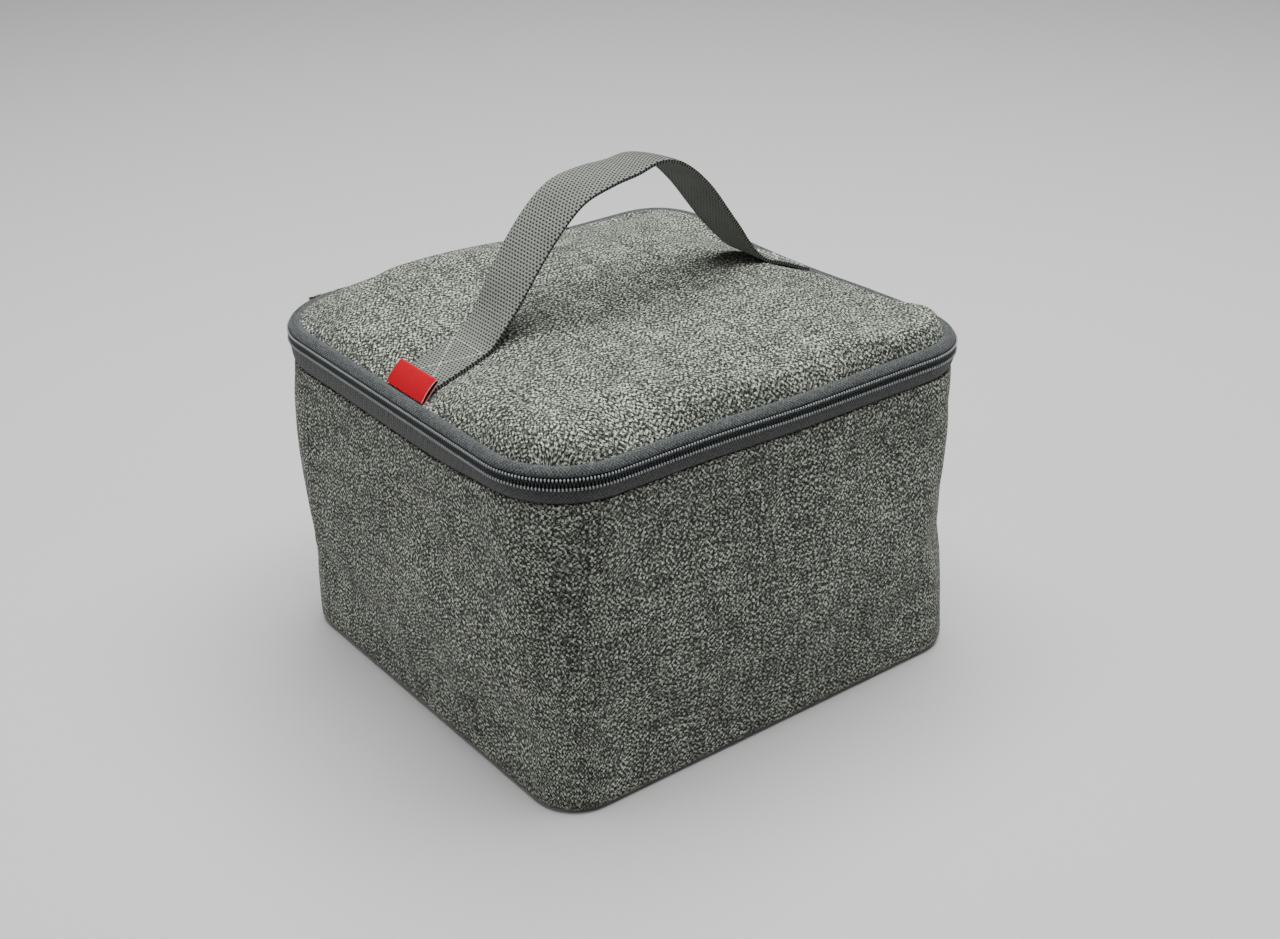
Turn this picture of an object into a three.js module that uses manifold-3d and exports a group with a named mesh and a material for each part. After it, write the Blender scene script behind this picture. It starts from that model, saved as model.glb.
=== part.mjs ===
// Insulated bento bag: a soft padded box with a zipped lid and a webbing handle across the lid.
// Millimetres. +Z is up, -Y is the front, -X is the left side and the lid folds at the back.
// The origin is the middle of the base, on the surface that the bag stands on.
import * as THREE from "three";
import { mergeVertices } from "three/addons/utils/BufferGeometryUtils.js";
import Module from "manifold-3d";

// Box: the outline of the walls at the zip seam, and at the base
const boxWidth = 246;
const boxDepth = 224;
const boxCorner = 37;
const baseWidth = 235;
const baseDepth = 223;
const baseCorner = 23;
const wallHeight = 147.5;
const baseEdgeRadius = 8;

// Soft shape of the box: the walls swell a little, and the right side bows in towards the zip
const wallSwell = 2;
const rightBow = 9;
const bowStart = 75;
const bowFull = 115;

// Layers of the walls, the base and the lid
const fabric = 1.0;
const foam = 4.0;
const lining = 0.5;
const binding = 0.8;
const bindingDrop = 8;
const layerGap = 0.3;
const wallLift = 0.2;

// Zip: a band that stands proud of the walls, with the lid seam set in above it
const zipBand = 15;
const chainRise = 10;
const chainProud = 2;
const lidInset = 4;
const tape = 0.8;
const tapeBehindCoil = 0.4;
const coilWidth = 2.2;
const coilDepth = 2.4;
const coilParting = 1.4;

// Hinge strip at the back, between the zip ends
const hingeLength = 100;
const hingeStrip = 1.6;
const hingeProud = 1.0;
const hingeClearance = 1.3;

// Padded lid: it rises at the seam and flattens towards the middle.
// It rolls over steeply at the front and the left, and rises gently at the back corners.
const lidCrown = 11.6;
const lidEaseLength = 15;
const lidFrontEase = 4.5;
const lidLeftEase = 6.5;
const lidCornerEase = 20;
const lidPadInset = 6;
const lidBindingWidth = 8;

// Soft swells and hollows of the lid: place, reach and height
const lidSwellStart = 12;
const lidSwells = [
  { x: -54, y: 86, reach: 28, height: 4 },
  { x: -10, y: 92, reach: 24, height: 2 },
  { x: -70, y: -60, reach: 30, height: 1.2 },
  { x: 60, y: 98, reach: 28, height: -2.4 },
  { x: 102, y: -35, reach: 22, height: -2.6 },
  { x: 102, y: 45, reach: 24, height: -2.8 },
];

// Handle: webbing sewn flat to the lid at both ends, with a free loop between
const webbingWidth = 25;
const webbing = 1.6;
const sewnLength = 36;
const sewnStart = 5;
const handleHeight = 73.5;
const bendLength = 20;
const bendStart = 1.2;
const tackWidth = 1.6;
const tackThread = 0.5;
const tackFromEdge = 2.5;

// Label folded into the left lid seam, leaning over the end of the webbing
const labelWidth = 25;
const labelLength = 11;
const labelLean = 50;
const labelOverSeam = 0.6;
const labelThickness = 0.8;
const labelTowardsFront = 6;

// Zip slider on the back, by the left corner, and its pull
const sliderLength = 12;
const sliderWidth = 8.4;
const sliderPlate = 1.0;
const sliderPastCorner = 1;
const sliderPlay = 0.9;
const innerPlateTrim = 0.4;
const postThickness = 0.8;
const postLength = 4;
const bridgeSpan = 8.2;
const bridgeWidth = 2.4;
const bridgeBar = 1.2;
const bridgeRoom = 2.4;
const pullLength = 24;
const pullWidth = 6;
const pullThickness = 1.2;
const pullBar = 1.2;
const pullSlotWidth = 3.6;
const pullSlotPlay = 0.5;

// The loop's shape: places as parts of half its span, and heights as parts of its own height
const loopShape = [
  [-0.84, 0.29], [-0.68, 0.55], [-0.51, 0.755], [-0.34, 0.905], [-0.15, 0.952], [0.02, 0.966],
  [0.17, 1.0], [0.32, 0.94], [0.49, 0.77], [0.67, 0.5], [0.83, 0.27],
];

// Fineness of the round corners and curves
const cornerSteps = 6;
const sideSteps = 6;
const wallSteps = 4;
const edgeSteps = 3;
const loopSteps = 36;
const bendSteps = 4;

// Heights and places that follow from the sizes above
const chainHeight = wallHeight + chainRise;
const lidSeam = wallHeight + zipBand;
const lidWidth = boxWidth - 2 * lidInset;
const lidDepth = boxDepth - 2 * lidInset;
const lidCorner = boxCorner - lidInset;
const cornerX = boxWidth / 2 - boxCorner;
const cornerY = boxDepth / 2 - boxCorner;
const halfSpan = lidWidth / 2 - sewnLength;
const zipEndReach = hingeLength / 2;
const behindHinge = hingeStrip + lining + 2 * layerGap;
const lidLiningInset = behindHinge + hingeClearance;

const finish = (color, roughness, metalness = 0) =>
  new THREE.MeshStandardMaterial({ color, roughness, metalness });

const materials = {
  fabric: finish(0x7f8279, 0.95),
  webbing: finish(0x83877e, 0.85),
  zipTape: finish(0x4a5054, 0.85),
  zipCoil: finish(0x23272a, 0.5),
  thread: finish(0xa3a79e, 0.8),
  foam: finish(0xe6e6e2, 0.9),
  lining: finish(0xc9ccce, 0.35),
  binding: finish(0x3a3d3c, 0.9),
  label: finish(0xb3202a, 0.75),
  sliderMetal: finish(0xc9c4b4, 0.3, 1),
  pullMetal: finish(0x26282a, 0.4, 0.9),
};

const bag = new THREE.Group();

function addPiece(name, geometry, material) {
  const mesh = new THREE.Mesh(geometry, material);
  mesh.name = name;
  bag.add(mesh);
}

// Rounded rectangle seen from above, with the same number of points at every size
function outline(width, depth, radius) {
  const x = width / 2 - radius;
  const y = depth / 2 - radius;
  const corners = [[x, y, 0], [-x, y, 1], [-x, -y, 2], [x, -y, 3]].map(([middleX, middleY, quarter]) => {
    const from = (quarter * Math.PI) / 2;
    const arc = new THREE.EllipseCurve(middleX, middleY, radius, radius, from, from + Math.PI / 2);
    return arc.getPoints(cornerSteps);
  });
  return corners.flatMap((corner, i) => {
    const last = corner.at(-1);
    const next = corners[(i + 1) % corners.length][0];
    const side = [];
    for (let step = 1; step < sideSteps; step += 1) side.push(last.clone().lerp(next, step / sideSteps));
    return [...corner, ...side];
  });
}

// How far a place on the right side moves in, more towards the zip than at the base
function bowAt(x, y, z) {
  const along = Math.max(1 - ((2 * y) / boxDepth) ** 2, 0);
  const up = THREE.MathUtils.smoothstep(z, wallHeight / 3, wallHeight);
  return rightBow * along * up * THREE.MathUtils.smoothstep(x, bowStart, bowFull);
}

function ring(width, depth, radius, inset, z) {
  const sharpest = 1;
  const corner = Math.max(radius - inset, sharpest);
  const points = outline(width - 2 * inset, depth - 2 * inset, corner);
  return points.map((point) => new THREE.Vector3(point.x - bowAt(point.x, point.y, z), point.y, z));
}

// Outline of the walls at a height: they lean out a little from the base to the zip
function wallRing(inset, z) {
  const share = z / wallHeight;
  const width = THREE.MathUtils.lerp(baseWidth, boxWidth, share);
  const depth = THREE.MathUtils.lerp(baseDepth, boxDepth, share);
  const radius = THREE.MathUtils.lerp(baseCorner, boxCorner, share);
  const swell = wallSwell * Math.sin(Math.PI * share);
  return ring(width, depth, radius, inset, z).map((point) => {
    const sideways = (2 * point.x) / width;
    const endways = (2 * point.y) / depth;
    point.x += swell * sideways ** 5 * Math.max(1 - endways ** 2, 0);
    point.y += swell * endways ** 5 * Math.max(1 - sideways ** 2, 0);
    return point;
  });
}

const baseRing = (inset, z) => ring(baseWidth, baseDepth, baseCorner, inset, z);
const lidRing = (inset, z) => ring(lidWidth, lidDepth, lidCorner, inset, z);

// Triangles over a loop, nearly level or upright, wound the way the loop runs
function capFaces(loop) {
  const above = loop.map((point) => new THREE.Vector2(point.x, point.y));
  const aside = loop.map((point) => new THREE.Vector2(point.y, point.z));
  const level = Math.abs(THREE.ShapeUtils.area(above)) > Math.abs(THREE.ShapeUtils.area(aside));
  const contour = level ? above : aside;
  return THREE.ShapeUtils.triangulateShape(contour, []).map((face) => face.sort((a, b) => a - b));
}

function signedVolume(points, faces) {
  const normal = new THREE.Vector3();
  let volume = 0;
  for (let i = 0; i < faces.length; i += 3) {
    normal.crossVectors(points[faces[i + 1]], points[faces[i + 2]]);
    volume += points[faces[i]].dot(normal) / 6;
  }
  return volume;
}

// Closed skin over loops of equal length: the last joins the first, or both are capped.
// Each four-sided patch is split from its lower row, so that neighbouring layers split alike.
function skin(loops, endless = false) {
  const count = loops[0].length;
  const points = loops.flat();
  const faces = [];
  const rows = endless ? loops.length : loops.length - 1;
  for (let row = 0; row < rows; row += 1) {
    const here = row * count;
    const next = ((row + 1) % loops.length) * count;
    for (let i = 0; i < count; i += 1) {
      const j = (i + 1) % count;
      const rising = points[next + i].z >= points[here + i].z;
      if (rising) faces.push(here + i, here + j, next + j, here + i, next + j, next + i);
      else faces.push(here + i, here + j, next + i, here + j, next + j, next + i);
    }
  }
  if (!endless) {
    const last = (loops.length - 1) * count;
    for (const [a, b, c] of capFaces(loops[0])) faces.push(c, b, a);
    for (const [a, b, c] of capFaces(loops.at(-1))) faces.push(last + a, last + b, last + c);
  }
  if (signedVolume(points, faces) < 0) faces.reverse();
  const geometry = new THREE.BufferGeometry().setFromPoints(points);
  geometry.setIndex(faces);
  geometry.computeVertexNormals();
  return geometry;
}

// One layer of the walls: it turns in under the bag at the bottom, round the base edge
function wallLayer(offset, thickness) {
  const profile = [];
  const addSide = (depthIn, downwards) => {
    const radius = baseEdgeRadius - depthIn;
    const side = [];
    for (let step = 0; step <= edgeSteps; step += 1) {
      const angle = (step / edgeSteps) * (Math.PI / 2);
      const inset = baseEdgeRadius - radius * Math.sin(angle);
      side.push([inset, wallLift + baseEdgeRadius - radius * Math.cos(angle)]);
    }
    const [, low] = side.at(-1);
    for (let step = 1; step <= wallSteps; step += 1) {
      side.push([depthIn, THREE.MathUtils.lerp(low, wallHeight, step / wallSteps)]);
    }
    profile.push(...(downwards ? side.reverse() : side));
  };
  addSide(offset, false);
  addSide(offset + thickness, true);
  return skin(profile.map(([inset, z]) => wallRing(inset, z)), true);
}

function basePlate(z, thickness) {
  const inset = baseEdgeRadius + layerGap;
  return skin([baseRing(inset, z), baseRing(inset, z + thickness)]);
}

// Stations round a corner of the box, with the outward direction at each
function cornerStations(x, y, fromDegrees, toDegrees) {
  const steps = Math.ceil(((toDegrees - fromDegrees) / 90) * cornerSteps);
  const stations = [];
  for (let step = 0; step <= steps; step += 1) {
    const angle = THREE.MathUtils.degToRad(fromDegrees + ((toDegrees - fromDegrees) * step) / steps);
    const outward = new THREE.Vector2(Math.cos(angle), Math.sin(angle));
    stations.push({ x: x + boxCorner * outward.x, y: y + boxCorner * outward.y, outward });
  }
  return stations;
}

// Stations along the right side, between its corners
function rightStations() {
  const stations = [];
  for (let step = 1; step < sideSteps; step += 1) {
    const y = THREE.MathUtils.lerp(-cornerY, cornerY, step / sideSteps);
    stations.push({ x: boxWidth / 2, y, outward: new THREE.Vector2(1, 0) });
  }
  return stations;
}

const backStation = (x) => ({ x, y: boxDepth / 2, outward: new THREE.Vector2(0, 1) });

// A strip with a fixed profile, given as places outward of the wall and heights, along stations
function strip(stations, profile) {
  return skin(stations.map((station) => {
    const x = station.x - bowAt(station.x, station.y, wallHeight);
    return profile.map(([out, z]) => new THREE.Vector3(
      x + station.outward.x * out, station.y + station.outward.y * out, z));
  }));
}

// The zip runs from the left of the back round the front to the right of the back.
// Its upper half leaves the lid halfway round each back corner and stays with the box there.
const partingAngle = THREE.MathUtils.radToDeg(layerGap / boxCorner);
const frontCorners = [
  ...cornerStations(-cornerX, -cornerY, 180, 270),
  ...cornerStations(cornerX, -cornerY, 270, 360),
];
const wholeZip = [
  backStation(-zipEndReach),
  ...cornerStations(-cornerX, cornerY, 90, 180),
  ...frontCorners,
  ...rightStations(),
  ...cornerStations(cornerX, cornerY, 0, 90),
  backStation(zipEndReach),
];
const lidZip = [
  ...cornerStations(-cornerX, cornerY, 135 + partingAngle, 180),
  ...frontCorners,
  ...rightStations(),
  ...cornerStations(cornerX, cornerY, 0, 45 - partingAngle),
];
const leftEnd = [backStation(-zipEndReach), ...cornerStations(-cornerX, cornerY, 90, 135)];
const rightEnd = [...cornerStations(cornerX, cornerY, 45, 90), backStation(zipEndReach)];

// Profiles of the zip band, as places outward of the wall and heights
const tapeOut = chainProud - tapeBehindCoil;
const lowerCoilTop = chainHeight - coilParting / 2;
const upperCoilBottom = chainHeight + coilParting / 2;
const lowerTapeTop = lowerCoilTop - coilWidth - layerGap;
const upperTapeBottom = upperCoilBottom + coilWidth + layerGap;

const coilProfile = (bottom) => [
  [chainProud - coilDepth, bottom],
  [chainProud, bottom],
  [chainProud, bottom + coilWidth],
  [chainProud - coilDepth, bottom + coilWidth],
];
const lowerTapeProfile = [
  [-tape, wallHeight + layerGap],
  [0, wallHeight + layerGap],
  [tapeOut, lowerTapeTop],
  [tapeOut - tape, lowerTapeTop],
];
const upperTapeProfile = (innerOut, innerTop) => [
  [tapeOut, upperTapeBottom],
  [tapeOut, upperTapeBottom + tape],
  [innerOut, innerTop],
  [innerOut, innerTop - tape],
];

// A layer of the hinge strip, at a depth in from its outer face
function hingeLayer(depthIn, thickness) {
  const outer = [
    [0, wallHeight + layerGap],
    [hingeProud, chainHeight],
    [-lidInset, lidSeam - layerGap],
  ];
  const near = outer.map(([out, z]) => [out - depthIn, z]);
  const far = outer.map(([out, z]) => [out - depthIn - thickness, z]).reverse();
  const reach = zipEndReach - layerGap;
  return strip([backStation(-reach), backStation(reach)], [...near, ...far]);
}

// Distance over which the lid rises at a place
function lidEase(x, y) {
  const between = THREE.MathUtils.smoothstep;
  const right = between(x, 50, 90) * between(y, -30, 50);
  const backLeft = between(-x, 60, 100) * between(y, 55, 95);
  const byStrap = 1 - between(Math.abs(y + labelTowardsFront), 30, 60);
  const left = between(-x, 55, 100) * (1 - between(y, 55, 95)) * (1 - byStrap);
  const front = between(-y, 45, 90) * THREE.MathUtils.lerp(0.35, 1, between(x, -85, -35));
  const atLeft = THREE.MathUtils.lerp(lidEaseLength, lidLeftEase, left);
  const atBack = THREE.MathUtils.lerp(atLeft, lidCornerEase, Math.max(right, backLeft));
  return THREE.MathUtils.lerp(atBack, lidFrontEase, front);
}

// Height of the lid's outer face over its seam, at a distance in from the seam
const lidRise = (inset, x, y) => lidCrown * (1 - Math.exp(-inset / lidEase(x, y)));
const lidInsets = [
  0, lidEaseLength * 0.12, lidEaseLength * 0.32, lidEaseLength * 0.64, lidEaseLength * 1.3, sewnLength,
  sewnLength * 1.6, sewnLength * 2.3,
];

function lidHeight(inset, x, y) {
  const start = THREE.MathUtils.smoothstep(inset, 0, lidSwellStart);
  const swells = lidSwells.map((swell) => {
    const far = Math.hypot(x - swell.x, y - swell.y) / swell.reach;
    return swell.height * Math.exp(-far * far / 2);
  });
  return lidSeam + lidRise(inset, x, y) + start * swells.reduce((sum, height) => sum + height);
}

// A ring of the lid's outer face, moved in and down by a thickness
function lidTopRing(inset, depthIn, down) {
  return lidRing(inset + depthIn, lidSeam).map((point) => {
    point.z = Math.max(lidHeight(inset, point.x, point.y) - down, lidSeam);
    return point;
  });
}

function lidShell() {
  const outer = lidInsets.map((inset) => lidTopRing(inset, 0, 0));
  const inner = lidInsets.map((inset) => lidTopRing(inset, fabric, fabric));
  return skin([...outer.reverse(), ...inner]);
}

function lidPad() {
  const under = fabric + layerGap;
  const tops = lidInsets.filter((inset) => inset > lidLiningInset);
  const rings = tops.map((inset) => lidTopRing(inset, under, under));
  return skin([lidRing(lidPadInset, lidSeam), lidRing(lidPadInset, lidSeam + layerGap), ...rings]);
}

const lidLiningTop = lidSeam - layerGap;
const lidBindingTop = lidLiningTop - lining - layerGap;

// A flat ribbon seen from its side: a line of points given a thickness
function ribbon(points, thickness) {
  const offset = (side) => points.map((point, i) => {
    const before = points[Math.max(i - 1, 0)];
    const after = points[Math.min(i + 1, points.length - 1)];
    const along = after.clone().sub(before).normalize();
    return new THREE.Vector2(point.x - along.y * side, point.y + along.x * side);
  });
  return new THREE.Shape([...offset(thickness / 2), ...offset(-thickness / 2).reverse()]);
}

// A shape drawn in X and Z, given a width along Y
function acrossY(shape, width, middleY) {
  const geometry = new THREE.ExtrudeGeometry(shape, { depth: width, bevelEnabled: false });
  return geometry.rotateX(Math.PI / 2).translate(0, middleY + width / 2, 0);
}

// Line on the lid from the side seam inwards, at a height over the fabric; side is -1 or 1.
// The slope factor keeps a ribbon's lower face clear where the lid is steep.
const slopeFactor = 1.25;

function lidLine(side, from, to, height) {
  const between = lidInsets.filter((inset) => inset > from && inset < to);
  return [from, ...between, to].map((inset) => {
    const across = side * (lidWidth / 2 - inset);
    const x = across - bowAt(across, 0, lidSeam);
    return new THREE.Vector2(x, lidHeight(inset, x, 0) + height * slopeFactor);
  });
}

// Middle line of the free webbing, from where it leaves the lid at the left to the right
const onLid = layerGap + webbing / 2;
const landing = (side) => lidLine(side, 0, sewnLength, onLid).at(-1);
const loopCurve = new THREE.SplineCurve([
  landing(-1),
  ...loopShape.map(([along, up]) => new THREE.Vector2(along * halfSpan, lidSeam + up * handleHeight)),
  landing(1),
]);

function loopStretch(from, to, steps) {
  const points = [];
  for (let step = 0; step <= steps; step += 1) {
    const share = (from + ((to - from) * step) / steps) / loopCurve.getLength();
    points.push(loopCurve.getPointAt(share));
  }
  return acrossY(ribbon(points, webbing), webbingWidth, 0);
}

// Boxes joined into one solid, each given by its lowest and highest corner
const wasm = await Module();
wasm.setup();

function boxSolid(low, high) {
  const size = high.map((value, i) => value - low[i]);
  const box = new THREE.BoxGeometry(...size);
  box.translate(...low.map((value, i) => value + size[i] / 2));
  box.deleteAttribute("normal");
  box.deleteAttribute("uv");
  const merged = mergeVertices(box);
  return new wasm.Manifold(new wasm.Mesh({
    numProp: 3,
    vertProperties: new Float32Array(merged.attributes.position.array),
    triVerts: new Uint32Array(merged.index.array),
  }));
}

function joinBoxes(boxes) {
  const solids = boxes.map(([low, high]) => boxSolid(low, high));
  const mesh = solids.reduce((whole, solid) => whole.add(solid)).getMesh();
  const geometry = new THREE.BufferGeometry();
  geometry.setAttribute("position", new THREE.BufferAttribute(mesh.vertProperties, 3));
  geometry.setIndex(new THREE.BufferAttribute(mesh.triVerts, 1));
  geometry.computeVertexNormals();
  return geometry;
}

// Slider: an outer and an inner plate on a post between the coils, and a bridge for the pull
const sliderX = -(cornerX + sliderPastCorner);
const coilOuterY = boxDepth / 2 + chainProud;
const outerPlateY = coilOuterY + layerGap;
const outerFaceY = outerPlateY + sliderPlate;
const innerPlateY = coilOuterY - coilDepth - sliderPlay;

function zipSlider() {
  const half = sliderLength / 2;
  const innerHalfWidth = coilParting / 2 + coilWidth - innerPlateTrim;
  const bridgeY = outerFaceY + bridgeRoom;
  const leg = bridgeSpan / 2;
  const at = (x, y, z) => [sliderX + x, y, chainHeight + z];
  const bridgeLeg = (x) => [
    at(x, outerPlateY, -bridgeWidth / 2),
    at(x + bridgeBar, bridgeY + bridgeBar, bridgeWidth / 2),
  ];
  return joinBoxes([
    [at(-half, outerPlateY, -sliderWidth / 2), at(half, outerFaceY, sliderWidth / 2)],
    [at(-half, innerPlateY - sliderPlate, -innerHalfWidth), at(half, innerPlateY, innerHalfWidth)],
    [at(half - postLength, innerPlateY - sliderPlate, -postThickness / 2),
      at(half, outerFaceY, postThickness / 2)],
    bridgeLeg(-leg),
    bridgeLeg(leg - bridgeBar),
    [at(-leg, bridgeY, -bridgeWidth / 2), at(leg, bridgeY + bridgeBar, bridgeWidth / 2)],
  ]);
}

// Pull: a flat tab with a slot, whose end bar turns under the slider's bridge
function zipPull() {
  const halfWidth = pullWidth / 2;
  const halfSlot = pullSlotWidth / 2;
  const slotEnd = Math.hypot(bridgeSpan / 2, bridgeRoom / 2 + bridgeBar) + pullSlotPlay;
  const tab = new THREE.Shape();
  tab.moveTo(-pullBar / 2, -halfWidth);
  tab.lineTo(pullLength - halfWidth, -halfWidth);
  tab.absarc(pullLength - halfWidth, 0, halfWidth, -Math.PI / 2, Math.PI / 2);
  tab.lineTo(-pullBar / 2, halfWidth);
  const slot = new THREE.Path();
  slot.moveTo(pullBar / 2, -halfSlot);
  slot.lineTo(pullBar / 2, halfSlot);
  slot.lineTo(slotEnd, halfSlot);
  slot.lineTo(slotEnd, -halfSlot);
  tab.holes.push(slot);
  const middleY = outerFaceY + bridgeRoom / 2;
  return acrossY(tab, pullThickness, middleY).translate(sliderX, 0, chainHeight);
}

// Walls and base, from the outside in
const foamOffset = fabric + layerGap;
const liningOffset = foamOffset + foam + layerGap;
const bindingOffset = liningOffset + lining + layerGap;
addPiece("outer_wall", wallLayer(0, fabric), materials.fabric);
addPiece("wall_foam", wallLayer(foamOffset, foam), materials.foam);
addPiece("wall_lining", wallLayer(liningOffset, lining), materials.lining);
addPiece("outer_base", basePlate(0, fabric), materials.fabric);
addPiece("base_foam", basePlate(foamOffset, foam), materials.foam);
addPiece("base_lining", basePlate(liningOffset, lining), materials.lining);

// Binding over the top of the foam and lining, and down inside the walls
const bindingProfile = [
  [behindHinge, wallHeight + layerGap],
  [behindHinge, wallHeight + layerGap + binding],
  [bindingOffset + binding, wallHeight + layerGap + binding],
  [bindingOffset + binding, wallHeight - bindingDrop],
  [bindingOffset, wallHeight - bindingDrop],
  [bindingOffset, wallHeight + layerGap],
];
const bindingRings = bindingProfile.map(([inset, z]) => wallRing(inset, z));
addPiece("body_binding", skin(bindingRings, true), materials.binding);

// Zip halves, and the hinge strip between their ends
const lidTape = upperTapeProfile(layerGap - lidInset, lidSeam);
const endTape = upperTapeProfile(-lidInset, lidSeam - layerGap);
addPiece("lower_zip_tape", strip(wholeZip, lowerTapeProfile), materials.zipTape);
addPiece("lower_zip_coil", strip(wholeZip, coilProfile(lowerCoilTop - coilWidth)), materials.zipCoil);
addPiece("upper_zip_tape", strip(lidZip, lidTape), materials.zipTape);
addPiece("upper_zip_coil", strip(lidZip, coilProfile(upperCoilBottom)), materials.zipCoil);
addPiece("zip_end_tape_left", strip(leftEnd, endTape), materials.zipTape);
addPiece("zip_end_tape_right", strip(rightEnd, endTape), materials.zipTape);
addPiece("zip_end_coil_left", strip(leftEnd, coilProfile(upperCoilBottom)), materials.zipCoil);
addPiece("zip_end_coil_right", strip(rightEnd, coilProfile(upperCoilBottom)), materials.zipCoil);
addPiece("hinge_panel", hingeLayer(0, hingeStrip), materials.fabric);
addPiece("hinge_lining", hingeLayer(hingeStrip + layerGap, lining), materials.lining);
addPiece("zip_slider", zipSlider(), materials.sliderMetal);
addPiece("zip_pull", zipPull(), materials.pullMetal);

// Lid
const lidLiningRings = [lidLiningTop - lining, lidLiningTop].map((z) => lidRing(lidLiningInset, z));
const lidBindingEdge = lidLiningInset + lidBindingWidth;
const lidBindingRings = [
  lidRing(lidLiningInset, lidBindingTop - binding),
  lidRing(lidLiningInset, lidBindingTop),
  lidRing(lidBindingEdge, lidBindingTop),
  lidRing(lidBindingEdge, lidBindingTop - binding),
];
addPiece("lid_panel", lidShell(), materials.fabric);
addPiece("lid_foam", lidPad(), materials.foam);
addPiece("lid_lining", skin(lidLiningRings), materials.lining);
addPiece("lid_binding", skin(lidBindingRings, true), materials.binding);

// Handle, from the sewn ends to the free loop
const overWebbing = layerGap + webbing + layerGap;
const tackMiddle = sewnLength - tackFromEdge;
for (const [side, word] of [[-1, "left"], [1, "right"]]) {
  const end = ribbon(lidLine(side, sewnStart, sewnLength, onLid), webbing);
  const tackHeight = overWebbing + tackThread / 2;
  const tackLine = lidLine(side, tackMiddle - tackWidth / 2, tackMiddle + tackWidth / 2, tackHeight);
  addPiece(`handle_end_${word}`, acrossY(end, webbingWidth, 0), materials.webbing);
  addPiece(`handle_tack_${word}`, acrossY(ribbon(tackLine, tackThread), webbingWidth, 0), materials.thread);
}
const loopLength = loopCurve.getLength();
const loopFrom = bendLength + layerGap;
addPiece("handle_strap", loopStretch(loopFrom, loopLength - loopFrom, loopSteps), materials.webbing);
addPiece("handle_bend_left", loopStretch(bendStart, bendLength, bendSteps), materials.webbing);
addPiece("handle_bend_right",
  loopStretch(loopLength - bendLength, loopLength - bendStart, bendSteps), materials.webbing);

// Label over the left end of the webbing
const labelFoot = new THREE.Vector2(-lidWidth / 2, lidSeam + labelOverSeam);
const labelReach = new THREE.Vector2(labelLength, 0)
  .rotateAround(new THREE.Vector2(), THREE.MathUtils.degToRad(labelLean));
const labelLine = [labelFoot, labelFoot.clone().add(labelReach)];
addPiece("side_label",
  acrossY(ribbon(labelLine, labelThickness), labelWidth, -labelTowardsFront), materials.label);

export default bag;
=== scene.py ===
# Insulated bento bag: padded walls and lid, a zip round the lid, a webbing handle and a side label.
# Metres. +Z is up, -Y is the front, -X is the left side and the lid folds at the back.
import math

import bpy
import numpy as np
from mathutils import Matrix, Vector


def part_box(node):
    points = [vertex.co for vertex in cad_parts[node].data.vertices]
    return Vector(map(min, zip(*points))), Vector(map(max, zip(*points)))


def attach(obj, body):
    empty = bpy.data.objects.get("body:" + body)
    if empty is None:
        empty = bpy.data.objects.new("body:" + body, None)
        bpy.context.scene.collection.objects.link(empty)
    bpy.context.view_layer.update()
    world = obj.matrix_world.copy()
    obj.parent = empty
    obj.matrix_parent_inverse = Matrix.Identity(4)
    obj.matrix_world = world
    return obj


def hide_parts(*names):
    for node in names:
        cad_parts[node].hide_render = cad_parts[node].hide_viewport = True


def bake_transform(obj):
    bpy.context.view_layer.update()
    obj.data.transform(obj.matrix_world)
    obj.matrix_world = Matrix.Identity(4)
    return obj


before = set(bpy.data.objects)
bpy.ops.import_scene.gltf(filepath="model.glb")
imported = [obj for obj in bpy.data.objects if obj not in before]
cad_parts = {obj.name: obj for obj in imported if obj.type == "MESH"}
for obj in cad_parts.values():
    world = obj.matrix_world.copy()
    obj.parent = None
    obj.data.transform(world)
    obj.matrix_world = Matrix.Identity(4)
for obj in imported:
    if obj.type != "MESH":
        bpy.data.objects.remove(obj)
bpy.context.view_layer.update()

bl_info = {
    "name": "Insulated bento bag",
    "version": (1, 0, 0),
    "blender": (4, 5, 0),
    "location": "3D View > Sidebar > Bag",
    "description": "Makes a padded, zipped bento bag round its packed frame",
    "category": "Add Mesh",
}

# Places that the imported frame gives
wall_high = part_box("outer_wall")[1]
lid_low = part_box("lid_panel")[0]
lining_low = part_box("wall_lining")[0]
lid_lining_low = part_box("lid_lining")[0]
sewn_low, sewn_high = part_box("handle_end_left")
label_low, label_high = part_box("side_label")
slider_low, slider_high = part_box("zip_slider")
pull_low, pull_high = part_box("zip_pull")

mm = 0.001
tiny = 1e-9
lid_inset = 4 * mm

# Sizes that follow from those places
zip_width = 2 * (lid_inset - lid_low.x)
zip_depth = 2 * (lid_inset - lid_low.y)
woven_width = label_high.y - label_low.y + 3 * mm

# Thicknesses of the sheets
cover_thickness = 1.0 * mm
film_thickness = 0.3 * mm


def length(name, description, default):
    return bpy.props.FloatProperty(
        name=name, description=description, default=default, subtype="DISTANCE", unit="LENGTH", precision=5
    )


def colour(name, description, default):
    return bpy.props.FloatVectorProperty(
        name=name, description=description, default=default, subtype="COLOR", size=3, min=0.0, max=1.0
    )


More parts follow.
